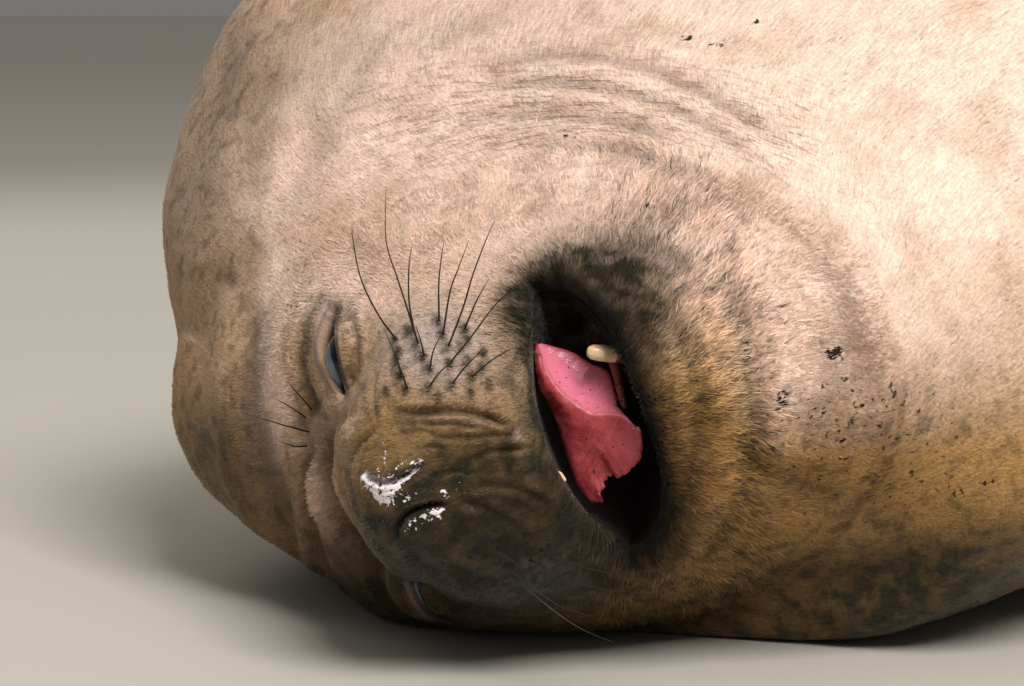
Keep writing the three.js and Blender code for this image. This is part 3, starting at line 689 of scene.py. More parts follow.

# The tints: the fur is brown where it is wet, rubbed or low down, where it is partly painted shade,
# and cream on the upper flank, partly bleached and partly painted light from above, and soiled with
# sand. Some ovals paint shade under the muzzle and the belly, in the mouth's corner and between face
# and shoulder. Most follow ovals of the picture, and the rest the height and the shape of the head.
TINTS = [
    # mark, middle and reach in the picture's pixels, how strong
    # Dark wet fur in the mouth's corner, partly painted shade.
    ("dark", (568, 312), (46, 36), 0.9),
    ("dark", (630, 330), (40, 48), 0.3),
    ("dark", (645, 420), (30, 130), 0.3),
    ("dark", (705, 420), (56, 110), -0.45),
    ("dark", (275, 390), (30, 60), -0.3),
    ("dark", (820, 450), (100, 50), -0.4),
    ("dirt_and_shade", (850, 440), (140, 110), 0.28),
    ("pale", (275, 400), (28, 60), 0.5),
    ("pale", (300, 290), (50, 50), 0.12),
    # Damper and darker under the muzzle, partly painted shade.
    ("wet", (470, 530), (110, 70), 0.5),
    ("pale", (690, 410), (66, 120), -0.25),
    ("pale", (900, 500), (190, 60), -0.25),
    # Painted shade under the muzzle.
    ("dark", (490, 540), (90, 60), 0.4),
    ("dark", (318, 410), (26, 56), 0.42),
    ("dark", (362, 360), (22, 60), 0.22),
    # Painted shadow in the gap between face and shoulder.
    ("dark", (212, 462), (66, 80), 0.72),
    # Darker across the top left, over the shoulder behind the head: painted shade.
    ("dark", (300, 50), (90, 60), 0.28),
    ("dark", (500, 20), (130, 46), 0.2),
    ("dark", (228, 90), (44, 110), 0.42),
    ("dark", (196, 230), (40, 110), 0.42),
    ("dark", (470, 460), (90, 46), 0.2),
    # Painted shade under the nose, and the painted shadow between the upper lip and the tongue.
    ("dark", (370, 560), (52, 66), 0.2),
    ("dark", (545, 400), (16, 90), 0.45),
    ("pale", (272, 372), (16, 110), 0.9),
    ("pale", (330, 290), (60, 40), 0.5),
    ("pale", (450, 240), (130, 60), -0.1),
    ("dark", (512, 350), (20, 60), 0.26),
    ("pale", (530, 470), (34, 22), 0.25),
    # Painted light on the upper flank, towards the top right.
    ("pale", (880, 320), (150, 120), 0.6),
    ("pale", (820, 400), (90, 50), 0.2),
    ("pale", (330, 450), (26, 90), 0.5),
    ("pale", (262, 400), (30, 80), 0.3),
    ("dirt_and_shade", (828, 353), (7, 4), 1.0),
    ("dirt_and_shade", (838, 352), (4, 5), 1.0),
    ("dirt_and_shade", (780, 400), (6, 9), 0.7),
    ("dirt_and_shade", (745, 350), (8, 14), 0.45),
    ("dirt_and_shade", (690, 36), (7, 4), 0.9),
    ("dirt_and_shade", (716, 44), (8, 4), 0.9),
    ("dirt_and_shade", (756, 20), (8, 4), 0.7),
    ("dirt_and_shade", (648, 205), (10, 7), 0.6),
    ("dirt_and_shade", (568, 136), (8, 3), 0.7),
    ("dirt_and_shade", (955, 490), (12, 4), 0.7),
    ("dirt_and_shade", (985, 481), (14, 3), 0.6),
    ("dirt_and_shade", (935, 228), (10, 3), 0.5),
    ("dirt_and_shade", (870, 246), (8, 3), 0.45),
    # Painted shade under the muzzle, laid as grime.
    ("dirt_and_shade", (500, 585), (120, 56), 0.42),
    ("dirt_and_shade", (300, 330), (26, 70), 0.22),
    ("dirt_and_shade", (440, 322), (60, 30), 0.2),
    ("dirt_and_shade", (290, 250), (40, 40), 0.16),
    ("grit", (420, 500), (60, 40), 0.14),
    # Painted shade under the belly.
    ("dark", (960, 565), (130, 66), 0.6),
    ("wet", (480, 570), (140, 80), 0.8),
    ("wet", (950, 590), (150, 60), 0.6),
    ("wet", (220, 480), (50, 70), 0.5),
    ("wet", (380, 580), (60, 60), 0.5),
    ("wet", (650, 330), (40, 50), 0.3),
    ("crinkle", (590, 110), (190, 66), 1.0),
    ("crinkle", (780, 130), (46, 40), 0.9),
    ("crinkle", (620, 200), (170, 30), 0.6),
    ("crinkle", (400, 120), (90, 110), 0.35),
]
TINT_STEEP = 1.3
BLEACHED_AND_LIT = (120, 300)  # heights in millimetres where the paler fur, partly painted light, begins and is whole
LOW_DAMP_AND_SHADE = (5, 112)  # heights where the darker fur low down, partly damp and partly painted shade, is whole and ends
PALE_CLOUD, LOW_DARK_CLOUD = 40, 34  # millimetres by which noise moves these heights
SHADED_BACK = (250, 420)  # millimetres behind the middle, over which painted shade keeps the nape's fur less pale
SHADED_NAPE = (350, 700)  # millimetres along the body over which that ends
SHADED_TRUNK = (450, 1000)
# Ovals about the nose: their middle and reach in millimetres left, ahead and up, and how steeply they end.
SNOUT = (-52, -34, -36), (88, 100, 118), 1.6
MUZZLE = (0, -25, -10), (100, 90, 80), 1.5
MOUTH_CORNER, CORNER_REACH = (58, -88, -116), 42
CORNER_FUR, CORNER_FUR_REACH = (54, -86, -114), 44
CORNER_SEEN = (564, 310), (46, 34), 1.5  # the same in the picture's pixels
LIP_RIM, LIP_RIM_WIDE = 4.3, 0.5  # places along the loops
LINING_END = (3.6, 4.3)


def oval(places, middle, reach, steep=1):
    """A share that is whole in the middle of an oval and falls off at its edge."""
    return np.exp(-((((places - np.array(middle)) / reach) ** 2).sum(-1) ** steep))


for block in BLOCKS.values():
    points, along = block["points"], block["along"]
    back, y, height = -points[..., 0], points[..., 1], points[..., 2]
    from_tip = np.stack(from_nose(points), -1)
    cloud = grain(points, 110, 21) + 0.5 * grain(points, 45, 22)
    snout, muzzle = oval(from_tip, *SNOUT), oval(from_tip, *MUZZLE)
    corner = oval(points, on_head(*MOUTH_CORNER), CORNER_REACH)
    # Darker low down: partly damp, sandy fur and partly painted shade.
    low = 1 - smoothly(height + LOW_DARK_CLOUD * cloud, *LOW_DAMP_AND_SHADE)
    lip_rim = np.exp(-(((along - LIP_RIM) / LIP_RIM_WIDE) ** 2))
    # The darkness of the snout and of the mouth's corner is partly painted shade under the muzzle and in the
    # corner.
    block["dark"] += snout + 0.1 * muzzle + corner + 0.85 * low + 0.7 * lip_rim
    block["wet"] += 0.35 * snout + 0.7 * corner + 0.25 * lip_rim
    # Painted shade keeps the nape and the far trunk less pale.
    nape = 1 - 0.6 * smoothly(back, *SHADED_BACK) * (1 - smoothly(y, *SHADED_NAPE))
    nape = nape * (1 - 0.35 * smoothly(y, *SHADED_TRUNK))
    # Paler up high: partly bleached fur and partly painted light from above.
    block["pale"] += smoothly(height + PALE_CLOUD * cloud, *BLEACHED_AND_LIT) * nape
    pixels, facing = picture_of(block)
    seen = smoothly(facing, 0, 0.3) * (along.ravel() > LIPS)
    for mark, middle, reach, much in TINTS:
        block[mark].ravel()[:] += much * oval(pixels, middle, reach, TINT_STEEP) * seen
    in_corner = (oval(pixels, *CORNER_SEEN) * (facing > 0)).reshape(along.shape)
    # The dark fur in the mouth's corner is partly painted shade.
    corner_fur = np.maximum(oval(points, on_head(*CORNER_FUR), CORNER_FUR_REACH), in_corner)
    inner = 1 - smoothly(along, *LINING_END)
    block["dark"] += corner_fur
    block["lining"] = np.clip(block["lining"] + inner * (1 - np.clip(1.3 * corner_fur, 0, 1)), 0, 1)
    for mark in MARKS:
        block[mark] = np.clip(block[mark], 0, 1)
    block["points"] = press(points + block["normal"] * block["raise"][..., None])
    block["normal"] = grid_normals(block["points"])

# The hide: one thick skin over the whole body, from the lining of the mouth to the tail. Its two blocks are
# sewn together where the columns halve, and its ends close in the throat and on the tip of the tail.


def hoop_quads(rows, count, start=0):
    """The quads between rows of points that each close on themselves."""
    row, k = np.meshgrid(np.arange(rows - 1), np.arange(count), indexing="ij")
    here = start + row * count
    k2 = (k + 1) % count
    return np.stack([here + k, here + k2, here + count + k2, here + count + k], -1).reshape(-1, 4)


def fan(tip, count, start, onward):
    """The triangles between one point and a row that closes on itself, which lies before it if onward."""
    k = start + np.arange(count)
    k2 = start + (np.arange(count) + 1) % count
    return np.stack([np.full(count, tip), *((k, k2) if onward else (k2, k))], -1)


def skin_faces():
    """Both blocks joined into one shell: the quads, then the triangles of the seam and of the two ends."""
    (face_rows, face_round), (trunk_rows, trunk_round) = (block["phi"].shape for block in BLOCKS.values())
    first = face_rows * face_round
    end = first + (trunk_rows - 1) * trunk_round
    throat = end + trunk_round
    k = np.arange(trunk_round)
    coarse, coarse2 = first + k, first + (k + 1) % trunk_round
    fine, fine2, fine3 = (first - face_round + (2 * k + step) % face_round for step in range(3))
    return [
        hoop_quads(face_rows, face_round),
        hoop_quads(trunk_rows, trunk_round, first),
        np.stack([fine, fine2, coarse], -1),
        np.stack([fine2, coarse2, coarse], -1),
        np.stack([fine2, fine3, coarse2], -1),
        fan(throat, face_round, 0, False),
        fan(throat + 1, trunk_round, end, True),
    ]


def make_mesh(name, points, faces, marks=None, lie=None, patches=None):
    """An object from points in the drawing's millimetres and arrays of faces, with marks on its points."""
    mesh = bpy.data.meshes.new(name)
    mesh.vertices.add(len(points))
    mesh.vertices.foreach_set("co", to_frame(points).astype(np.float32).ravel())
    faces = [np.asarray(group, np.int32) for group in faces]
    corners = np.concatenate([group.ravel() for group in faces])
    counts = np.concatenate([np.full(len(group), group.shape[1], np.int32) for group in faces])
    mesh.loops.add(len(corners))
    mesh.loops.foreach_set("vertex_index", corners)
    mesh.polygons.add(len(counts))
    mesh.polygons.foreach_set("loop_start", (np.cumsum(counts) - counts).astype(np.int32))
    mesh.polygons.foreach_set("use_smooth", np.ones(len(counts), bool))
    for mark, values in (marks or {}).items():
        mesh.attributes.new(mark, "FLOAT", "POINT").data.foreach_set("value", np.asarray(values, np.float32))
    if lie is not None:
        lies = np.asarray(lie, np.float32).ravel()
        mesh.attributes.new("lie", "FLOAT_VECTOR", "POINT").data.foreach_set("vector", lies)
    if patches is not None:
        mesh.uv_layers.new(name="OFBake").data.foreach_set("uv", patches[corners].astype(np.float32).ravel())
    mesh.update(calc_edges=True)
    mesh.validate()
    made = bpy.data.objects.new(name, mesh)
    bpy.context.scene.collection.objects.link(made)
    return made


def of_blocks(name, width, ends):
    """One value for every point of the skin: those of both blocks, then those of its two end points."""
    return np.concatenate([block[name].reshape(width) for block in BLOCKS.values()] + [np.array(ends)])


skin_points = of_blocks("points", (-1, 3), [THROAT, TAIL_TIP])
skin_lie = of_blocks("lie", (-1, 3), np.zeros((2, 3)))
skin_marks = {mark: of_blocks(mark, -1, [float(mark == "lining"), 0.0]) for mark in MARKS}
skin_groups = skin_faces()


def linear(hex_colour):
    """An sRGB hex colour as linear values with full alpha."""
    parts = [int(hex_colour[i : i + 2], 16) / 255 for i in (1, 3, 5)]
    return [c / 12.92 if c <= 0.04045 else ((c + 0.055) / 1.055) ** 2.4 for c in parts] + [1.0]


def give(tree, node, given):
    """Gives a node its settings and links, each to its socket by name or number, or else to its setting."""
    for name, value in given.items():
        if isinstance(value, bpy.types.NodeSocket):
            tree.links.new(value, node.inputs[name])
        elif isinstance(name, int) or name in node.inputs:
            node.inputs[name].default_value = linear(value) if isinstance(value, str) else value
        else:
            setattr(node, name, value)


def add(tree, kind, given=None, output=0):
    """Adds a node with its settings and links, and gives back one of its outputs."""
    node = tree.nodes.new("ShaderNode" + kind)
    give(tree, node, given or {})
    return node.outputs[output]


def new_material(name):
    material = bpy.data.materials.new(name)
    material.use_nodes = True
    tree = material.node_tree
    return material, tree, tree.nodes["Principled BSDF"]


# Seal fur: short, stiff, oily hairs that lie flat over grey skin. To the eye it is fine streaks along their
# lie, brown and a little glossy where wet, matt cream above, partly bleached and partly painted light, with
# flecks of grime and sand, and painted shade in the folds, low down and under the muzzle.
FUR_TAN = "#b88e56"
FUR_CREAM = "#f2d3c1"
FUR_BROWN = "#2f2814"
FUR_OCHRE = "#9a7446"
PAD_GREY = "#c4afa5"
BARE_SKIN = "#94796f"
MOUTH_LINING = "#2a0f10"
# The brown of the painted shade in the folds.
CREASE_SHADE_BROWN = "#3b2d19"
DASH_BROWN = "#8a6540"
# Near black: grime, and the painted shade under the muzzle; on the tongue, sand.
GRIME_AND_SHADE = "#1f1912"
SALT_WHITE = "#f2ecef"
# Black for the painted shade in the nostril slits and the ear holes.
SLIT_SHADE_BLACK = "#050404"
NOISES = {
    # millimetres from one lump to the next, and how fine its detail is
    "speck": (1.9, 1.0),
    "fleck": (4.2, 2.0),
    "mottle": (13.0, 2.0),
    "blotch": (42.0, 4.0),
}
STROKES = {
    # millimetres along the lie of the hair and across it, for hairs coarser than life so that they show
    "hairs": (8.0, 1.0),
    "dashes": (3.4, 13.0),
}
STEPS = [
    # What each is called, and how it is made of what was there: a span reads a value from a low to a high
    # end and gives two values for these, and the others join two values.
    ("blotchy", "span", "blotch", 0.46, 0.72, 0.0, 0.42),
    ("uneven", "span", "mottle", 0.3, 0.7, 0.72, 1.12),
    ("browned", "MULTIPLY", "dark", "uneven"),
    ("creased", "MULTIPLY", "crease", 0.8),
    ("stroke", "span", "dashes", 0.53, 0.66, 0.0, 0.55),
    ("dash", "MULTIPLY", "stroke", "crinkle"),
    ("low_fur", "span", "pale", 0.3, 1.0, 0.5, 0.12),
    ("patch", "span", "mottle", 0.5, 0.66, 0.0, 1.0),
    ("patchy", "MULTIPLY", "patch", "low_fur"),
    ("streak", "span", "hairs", 0.3, 0.7, 0.78, 1.14),
    ("grainy", "span", "speck", 0.3, 0.7, 0.86, 1.1),
    ("clumps", "span", "mottle", 0.35, 0.65, 0.88, 1.08),
    ("damp", "span", "wet", 0.0, 1.0, 1.0, 0.5),
    ("fine_tone", "MULTIPLY", "streak", "grainy"),
    ("broad_tone", "MULTIPLY", "clumps", "damp"),
    ("tone", "MULTIPLY", "fine_tone", "broad_tone"),
    ("dirt_and_shade_flecks", "span", "fleck", 0.3, 0.7, -0.55, 0.35),
    # The dirt mark carries real dirt and the painted shade under the muzzle.
    ("soiled_and_shaded", "ADD", "dirt_and_shade", "dirt_and_shade_flecks"),
    ("grime_and_shade", "span", "soiled_and_shaded", 0.42, 0.6, 0.0, 1.0),
    ("salt_flecks", "span", "fleck", 0.3, 0.7, -0.55, 0.24),
    ("salt_grains", "span", "speck", 0.3, 0.7, -0.4, 0.12),
    ("crust", "ADD", "grit", "salt_flecks"),
    ("salted", "ADD", "crust", "salt_grains"),
    ("salt", "span", "salted", 0.36, 0.5, 0.0, 1.0),
    ("gloss", "span", "wet", 0.0, 1.0, 0.7, 0.45),
    ("furrow", "MULTIPLY", "dash", -1.0),
]
LAYERS = [
    # how much of each colour lies over those before it, or what dims them where there is none
    ("pale", FUR_CREAM),
    ("blotchy", FUR_OCHRE),
    ("pad", PAD_GREY),
    ("browned", FUR_BROWN),
    # painted shade in the bottoms of the folds
    ("creased", CREASE_SHADE_BROWN),
    ("dash", DASH_BROWN),
    ("patchy", FUR_BROWN),
    ("tone", None),
    # grime, and painted shade under the muzzle
    ("grime_and_shade", GRIME_AND_SHADE),
]
SKIN_LAYERS = [("bare", BARE_SKIN), ("lining", MOUTH_LINING), ("slit", SLIT_SHADE_BLACK), ("salt", SALT_WHITE)]
TUFT_LAYERS = [("shade", None), ("salt", SALT_WHITE)]
BUMPS = [
    # what stands up from the skin, how strongly, and how high in metres
    ("hairs", 0.5, 0.0006),
    ("speck", 0.4, 0.0015),
    ("salt", 0.6, 0.002),
    ("furrow", 0.6, 0.003),
]


def fur_material(name, tuft):
    """The fur, as it lies flat on the skin or on tufts that stand up."""
    material, tree, shader = new_material(name)
    lie = add(tree, "Attribute", {"attribute_name": "lie"}, "Vector")
    place_in = add(tree, "TexCoord", output="Object")
    made = {}

    def read(value):
        """What was made by that name, or else the mark of that name. A number stays one."""
        if isinstance(value, str) and value not in made:
            made[value] = add(tree, "Attribute", {"attribute_name": value}, "Fac")
        return made.get(value, value)

    for noise, (size, detail) in NOISES.items():
        made[noise] = add(tree, "TexNoise", {"Vector": place_in, "Scale": 1000 / size, "Detail": detail})
    for noise, (long, wide) in STROKES.items():
        shrink = (1 / long, 1 / wide, 1 / wide)
        stretched = add(tree, "VectorMath", {"operation": "MULTIPLY", 0: lie, 1: shrink})
        made[noise] = add(tree, "TexNoise", {"Vector": stretched, "Scale": 1.0, "Detail": 2.0})
    for step, how, *values in STEPS:
        values = [read(value) for value in values]
        if how == "span":
            ends = zip(("Value", "From Min", "From Max", "To Min", "To Max"), values)
            made[step] = add(tree, "MapRange", dict(ends))
        else:
            made[step] = add(tree, "Math", {"operation": how, 0: values[0], 1: values[1]})
    colour = FUR_TAN
    for share, tint in LAYERS + (TUFT_LAYERS if tuft else SKIN_LAYERS):
        if tint:
            colour = add(tree, "MixRGB", {"Fac": read(share), "Color1": colour, "Color2": tint})
        else:
            colour = add(tree, "VectorMath", {"operation": "SCALE", 0: colour, "Scale": read(share)})
    give(tree, shader, {"Base Color": colour, "Roughness": made["gloss"], "Specular IOR Level": 0.22})
    give(tree, shader, {"Sheen Weight": 0.1, "Sheen Roughness": 0.5})
    surface = {}
    for source, strength, high in [] if tuft else BUMPS:
        given = {"Height": made[source], "Strength": strength, "Distance": high, **surface}
        surface = {"Normal": add(tree, "Bump", given)}
    give(tree, shader, surface)
    return material


# The flippers: flat, furred limbs with five digits each, scalloped along the free edge. The fore pair lies
# folded on the flank and the floor, and the hind pair trails beyond the tail with the soles together.
DIGITS = 5
FLIPPER_ROWS = 120
FLIPPER_ROUND = 96
LINE_STEPS = 201
BETWEEN_DIGITS = 0.45  # how thick the free edge is between two digits, as a share of how thick it is on one
SCALLOP_DEEP = 9  # millimetres


def run_value(values, share):
    return np.interp(share, np.linspace(0, 1, len(values)), values)


def digit_ridge(across):
    """1 on the middle of each digit and 0 halfway to the next."""
    return np.cos(math.pi * DIGITS * across / 2) ** 2


def skin_place(along, degrees, lifted):
    """A point so many millimetres off the flank, from its loop and its angle round the body."""
    near = np.radians([degrees, degrees + 2])
    loops = np.array([loop(near) for loop, _ in LOOPS])
    here, beside = swell(between(loops, np.array([along])))[0]
    further = swell(between(loops, np.array([along + 0.05])))[0][0]
    out = np.cross(beside - here, further - here)
    return here + lifted * out / np.linalg.norm(out)


class Flipper:
    """A flipper along a path, which widens, thins and cups, with a free edge that reaches out by digits."""

    def __init__(self, path, side, half_widths, half_thick, reach, cup):
        self.path, self.side = np.array(path, float), side
        self.half_widths, self.half_thick, self.reach, self.cup = half_widths, half_thick, reach, cup

    def station(self, t, across, face):
        """Points at shares along it and places across it from -1 to 1, on its upper face, 1, or lower."""
        line = smooth_line(self.path, LINE_STEPS)
        slope = np.gradient(line, axis=0)
        at = np.linspace(0, 1, LINE_STEPS)
        t, across, face = np.broadcast_arrays(t, across, face)
        middle = np.stack([np.interp(t, at, line[:, k]) for k in range(3)], -1)
        heading = np.stack([np.interp(t, at, slope[:, k]) for k in range(3)], -1)
        heading /= np.linalg.norm(heading, axis=-1, keepdims=True)
        lateral = self.side(t[..., None])
        lateral = lateral - heading * (lateral * heading).sum(-1, keepdims=True)
        lateral /= np.linalg.norm(lateral, axis=-1, keepdims=True)
        outwards = np.cross(heading, lateral)
        ridge = 1 + t * (BETWEEN_DIGITS + (1 - BETWEEN_DIGITS) * digit_ridge(across) - 1)
        closing = np.sqrt(np.clip(1 - t**10, 0, 1))
        thick = run_value(self.half_thick, t) * np.sqrt(1 - across**4) * ridge * face * closing
        edge = run_value(self.reach, (across + 1) / 2) * t**2
        scallop = edge - SCALLOP_DEEP * (1 - digit_ridge(across)) * t**6
        wide = run_value(self.half_widths, t) * across
        lift = thick - wide**2 / (2 * self.cup)
        wide, lift, scallop = wide[..., None], lift[..., None], scallop[..., None]
        return press(middle + lateral * wide + outwards * lift + heading * scallop)

    def surface(self):
        """The grid of points round the flipper, its faces, how each point lies, and its share along it."""
        t, turn = np.meshgrid(
            np.linspace(0, 1, FLIPPER_ROWS) ** 0.85,
            np.arange(FLIPPER_ROUND) / FLIPPER_ROUND * 2 * math.pi,
            indexing="ij",
        )
        points = self.station(t, np.cos(turn), np.sign(np.sin(turn)) * np.abs(np.sin(turn)) ** 0.5)
        lie = np.stack([t * 500, np.cos(turn) * 80, np.sin(turn) * 30], -1)
        middle = FLIPPER_ROUND // 2
        upper = np.arange(1, middle - 1)
        lower = FLIPPER_ROUND - upper
        last = (FLIPPER_ROWS - 1) * FLIPPER_ROUND
        corners = [
            [last, last + 1, last + FLIPPER_ROUND - 1],
            [last + middle - 1, last + middle, last + middle + 1],
            [1, 0, FLIPPER_ROUND - 1],
            [middle, middle - 1, middle + 1],
        ]
        faces = [
            hoop_quads(FLIPPER_ROWS, FLIPPER_ROUND),
            last + np.stack([upper, upper + 1, lower - 1, lower], -1),
            np.stack([upper + 1, upper, lower, lower - 1], -1),
            np.array(corners),
        ]
        return points.reshape(-1, 3), faces, lie.reshape(-1, 3), t.ravel()


def turning_side(start, change=(0, 0, 0)):
    """The way across a flipper, which turns evenly from its root to its free edge."""
    return lambda t: np.array(start) + np.array(change) * t


FLIPPERS = {
    # the path and half widths and thicknesses along it, the reach across its free edge, and the radius it is
    # cupped with, all in millimetres
    "left_foreflipper": Flipper(
        [
            skin_place(15.9, 120, -30),
            skin_place(16.15, 124, -4),
            skin_place(16.45, 128, 16),
            skin_place(16.8, 132, 13),
            skin_place(17.1, 136, 12),
            skin_place(17.3, 139, 11),
        ],
        turning_side([-0.87, 0.3, 0.4], [0.15, 0, 0.2]),
        [52, 54, 62, 74, 80, 82],
        [22, 19, 14, 10, 7, 5],
        [-62, -34, -10, 8, 18, 20],
        380,
    ),
    "right_foreflipper": Flipper(
        [(120, 520, 92), (182, 580, 62), (240, 665, 29), (288, 760, 15), (326, 856, 8.5)],
        turning_side([0.86, -0.5, -0.06]),
        [52, 56, 66, 76, 82],
        [24, 20, 14, 9, 6],
        [-62, -30, -6, 10, 20],
        2000,
    ),
    "left_hindflipper": Flipper(
        [
            (-168, 2070, 112),
            (-164, 2170, 116),
            (-158, 2280, 112),
            (-150, 2390, 90),
            (-144, 2500, 64),
            (-140, 2610, 50),
        ],
        turning_side([1, 0.02, 0.02]),
        [56, 60, 70, 92, 122, 150],
        [36, 30, 22, 14, 9, 6],
        [70, 26, -24, 22, 60],
        900,
    ),
    "right_hindflipper": Flipper(
        [
            (-168, 2070, 42),
            (-170, 2170, 34),
            (-172, 2280, 24),
            (-176, 2390, 16),
            (-182, 2500, 11),
            (-190, 2610, 8),
        ],
        turning_side([1, 0.02, 0]),
        [52, 56, 68, 92, 124, 154],
        [34, 26, 17, 11, 8, 6],
        [70, 26, -24, 22, 60],
        6000,
    ),
}
for flipper in FLIPPERS.values():
    points, groups, lie, t = flipper.surface()
    skin_groups += [group + len(skin_points) for group in groups]
    skin_points = np.concatenate([skin_points, points])
    skin_lie = np.concatenate([skin_lie, lie])
    tints = {
        "dark": 0.25 + 0.5 * smoothly(t, 0.1, 0.7),
        # paler up high as on the body, partly painted light from above
        "pale": smoothly(points[:, 2], *BLEACHED_AND_LIT) * (1 - 0.6 * smoothly(t, 0.1, 0.6)),
    }
    for mark in MARKS:
        skin_marks[mark] = np.concatenate([skin_marks[mark], tints.get(mark, np.zeros(len(t)))])

skin = make_mesh("skin", skin_points, skin_groups, skin_marks, skin_lie)
skin.data.materials.append(fur_material("short_oily_seal_fur", tuft=False))
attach(skin, "root")
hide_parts("head", "lower_jaw", "neck", "chest", "belly", "hips", "tail", *FLIPPERS)

# The claws: blunt, dark horn, one on each digit of the fore flippers. They grow out of the upper face near
# the free edge, the first the longest.
CLAW_LONG = 34
CLAW_SHORTER = 0.08  # of the first one's length, from each claw to the next
CLAW_RADII = [3.6, 4.6, 3.4, 1.0]
CLAW_LIFTS = np.array([(0, 2.0), (0.35, 2.0), (0.7, 1.0), (1.0, 0)])  # how high it arches at shares along it
CLAW_SUNK = 6  # millimetres of its root in the flesh
CLAW_LOW = 3.0  # millimetres above the floor, at the least


def taper(path, radii, around=10):
    """A closed, round, tapering rod along a path in space, as points and faces."""
    line = smooth_line(path, max(6, 3 * len(path)))
    radius = run_value(radii, np.linspace(0, 1, len(line)))
    slope = np.gradient(line, axis=0)
    slope /= np.linalg.norm(slope, axis=-1, keepdims=True)
    first = np.cross(slope, SIGHT_BACK + 0.31 * SIGHT_UP)
    first /= np.linalg.norm(first, axis=-1, keepdims=True)
    second = np.cross(slope, first)
    turn = np.arange(around) / around * 2 * math.pi
    ring = first[:, None] * np.cos(turn)[None, :, None] + second[:, None] * np.sin(turn)[None, :, None]
    points = (line[:, None] + ring * radius[:, None, None]).reshape(-1, 3)
    start_point, end_point = len(points), len(points) + 1
    faces = [
        hoop_quads(len(line), around),
        fan(start_point, around, 0, False),
        fan(end_point, around, start_point - around, True),
    ]
    return np.concatenate([points, line[:1], line[-1:]]), faces


def gather(pieces):
    """Joins several sets of points and faces into one."""
    all_points, all_groups, start = [], [], 0
    for points, groups in pieces:
        all_points.append(points)
        all_groups += [group + start for group in groups]
        start += len(points)
    return np.concatenate(all_points), all_groups


claws = []
for name in ("left_foreflipper", "right_foreflipper"):
    for k, across in enumerate((-0.8, -0.4, 0.0, 0.4, 0.8)):
        root, tip = FLIPPERS[name].station(np.array([0.84, 0.995]), across, 0.7)
        heading = (tip - root) / np.linalg.norm(tip - root)
        long = CLAW_LONG * (1 - CLAW_SHORTER * k)
        path = tip + heading * long * CLAW_LIFTS[:, :1] + CLAW_LIFTS[:, 1:] * [0, 0, 1]
        path[0] = tip - heading * CLAW_SUNK
        path[:, 2] = np.maximum(path[:, 2], CLAW_LOW)
        claws.append(taper(path, CLAW_RADII))
claw = make_mesh("claws", *gather(claws))
# Claw horn: worn smooth by sand, so that its dark brown has a soft shine.
horn, tree, shader = new_material("dark_polished_claw_horn")
give(tree, shader, {"Base Color": "#2b241d", "Roughness": 0.4, "IOR": 1.54})
claw.data.materials.append(horn)
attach(claw, "root")

# The eyes: large dark balls under the lids, wet with tears, with a bluish film that is drawn across from
# the inner corner when the animal dozes.
EYE_BLACK = "#07080b"
EYE_FILM = "#5d6b80"
FILM_EDGE = [(338, 300), (329, 331), (330, 355), (336, 373), (344, 394)]


def ball(centre, axes, reach, wide=64, high=40):
    """A closed ball along three axes, as points and faces."""
    turn = np.linspace(0, 2 * math.pi, wide, endpoint=False)
    rise = np.linspace(-math.pi / 2, math.pi / 2, high + 1)[1:-1]
    rings = [
        np.stack([np.cos(turn) * math.cos(r), np.sin(turn) * math.cos(r), np.full(wide, math.sin(r))], -1)
        for r in rise
    ]
    local = np.concatenate(rings + [np.array([[0, 0, -1.0], [0, 0, 1.0]])])
    bottom, top = len(local) - 2, len(local) - 1
    faces = [
        hoop_quads(len(rise), wide),
        fan(bottom, wide, 0, False),
        fan(top, wide, bottom - wide, True),
    ]
    return centre + (local * reach) @ np.array(axes), faces


# The wet cornea: nearly black and mirror smooth, and dull slate blue under the film.
cornea, tree, shader = new_material("wet_cornea_with_blue_film")
film = add(tree, "Attribute", {"attribute_name": "film"}, "Fac")
iris = add(tree, "MixRGB", {"Fac": film, "Color1": EYE_BLACK, "Color2": EYE_FILM})
give(tree, shader, {"Base Color": iris, "Roughness": 0.1, "IOR": 1.376})
for name, (centre, outwards) in EYES.items():
    run = np.cross(outwards, SIGHT_BACK)
    run /= np.linalg.norm(run)
    across = np.cross(outwards, run)
    points, groups = ball(centre, [run, across, outwards], EYE_RADIUS)
    x, y = seen_at(points if name == "left" else other_side(points)).T
    edge_x, edge_y = np.array(FILM_EDGE).T
    film = 1 - smoothly(x - np.interp(y, edge_y, edge_x), -1.0, 1.5)
    eye = make_mesh(name + "_eyeball", points, groups, {"film": film})
    eye.data.materials.append(cornea)
    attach(eye, "root")
    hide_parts(name + "_eye")

# The tongue: a thick muscle lying slack on the lower side of the open mouth, folded along its ridge, with
# a torn-looking scalloped edge. Wet above, matt with papillae in front.
TONGUE_OUTER = [
    # pixels across and down, and millimetres nearer than the nose
    (537, 341, -35), (533, 355, -31), (537, 385, -26), (546, 403, -24), (555, 425, -22), (563, 452, -20),
    (570, 473, -19), (576, 488, -18), (586, 500, -17),
]
TONGUE_RIDGE = [
    (538, 344, -34), (543, 362, -26), (549, 377, -19), (563, 395, -12), (580, 408, -7), (593, 414, -5),
    (614, 413, -2), (626, 417, 1), (636, 428, 3),
]
TONGUE_INNER = [
    (540, 342, -36), (552, 345, -36), (572, 351, -34), (588, 361, -30), (600, 366, -26), (609, 374, -22),
    (615, 395, -17), (617, 406, -13), (624, 412, -9),
]
TONGUE_EDGE = [
    (586, 500, -17), (596, 503, -14), (602, 500, -12), (605, 488, -13), (609, 478, -11), (618, 478, -6),
    (628, 473, -4), (639, 460, -1), (643, 446, 1), (636, 428, 3),
]
TONGUE_THICK = 11.0
TONGUE_LEAST = 1.2  # millimetres at its edges
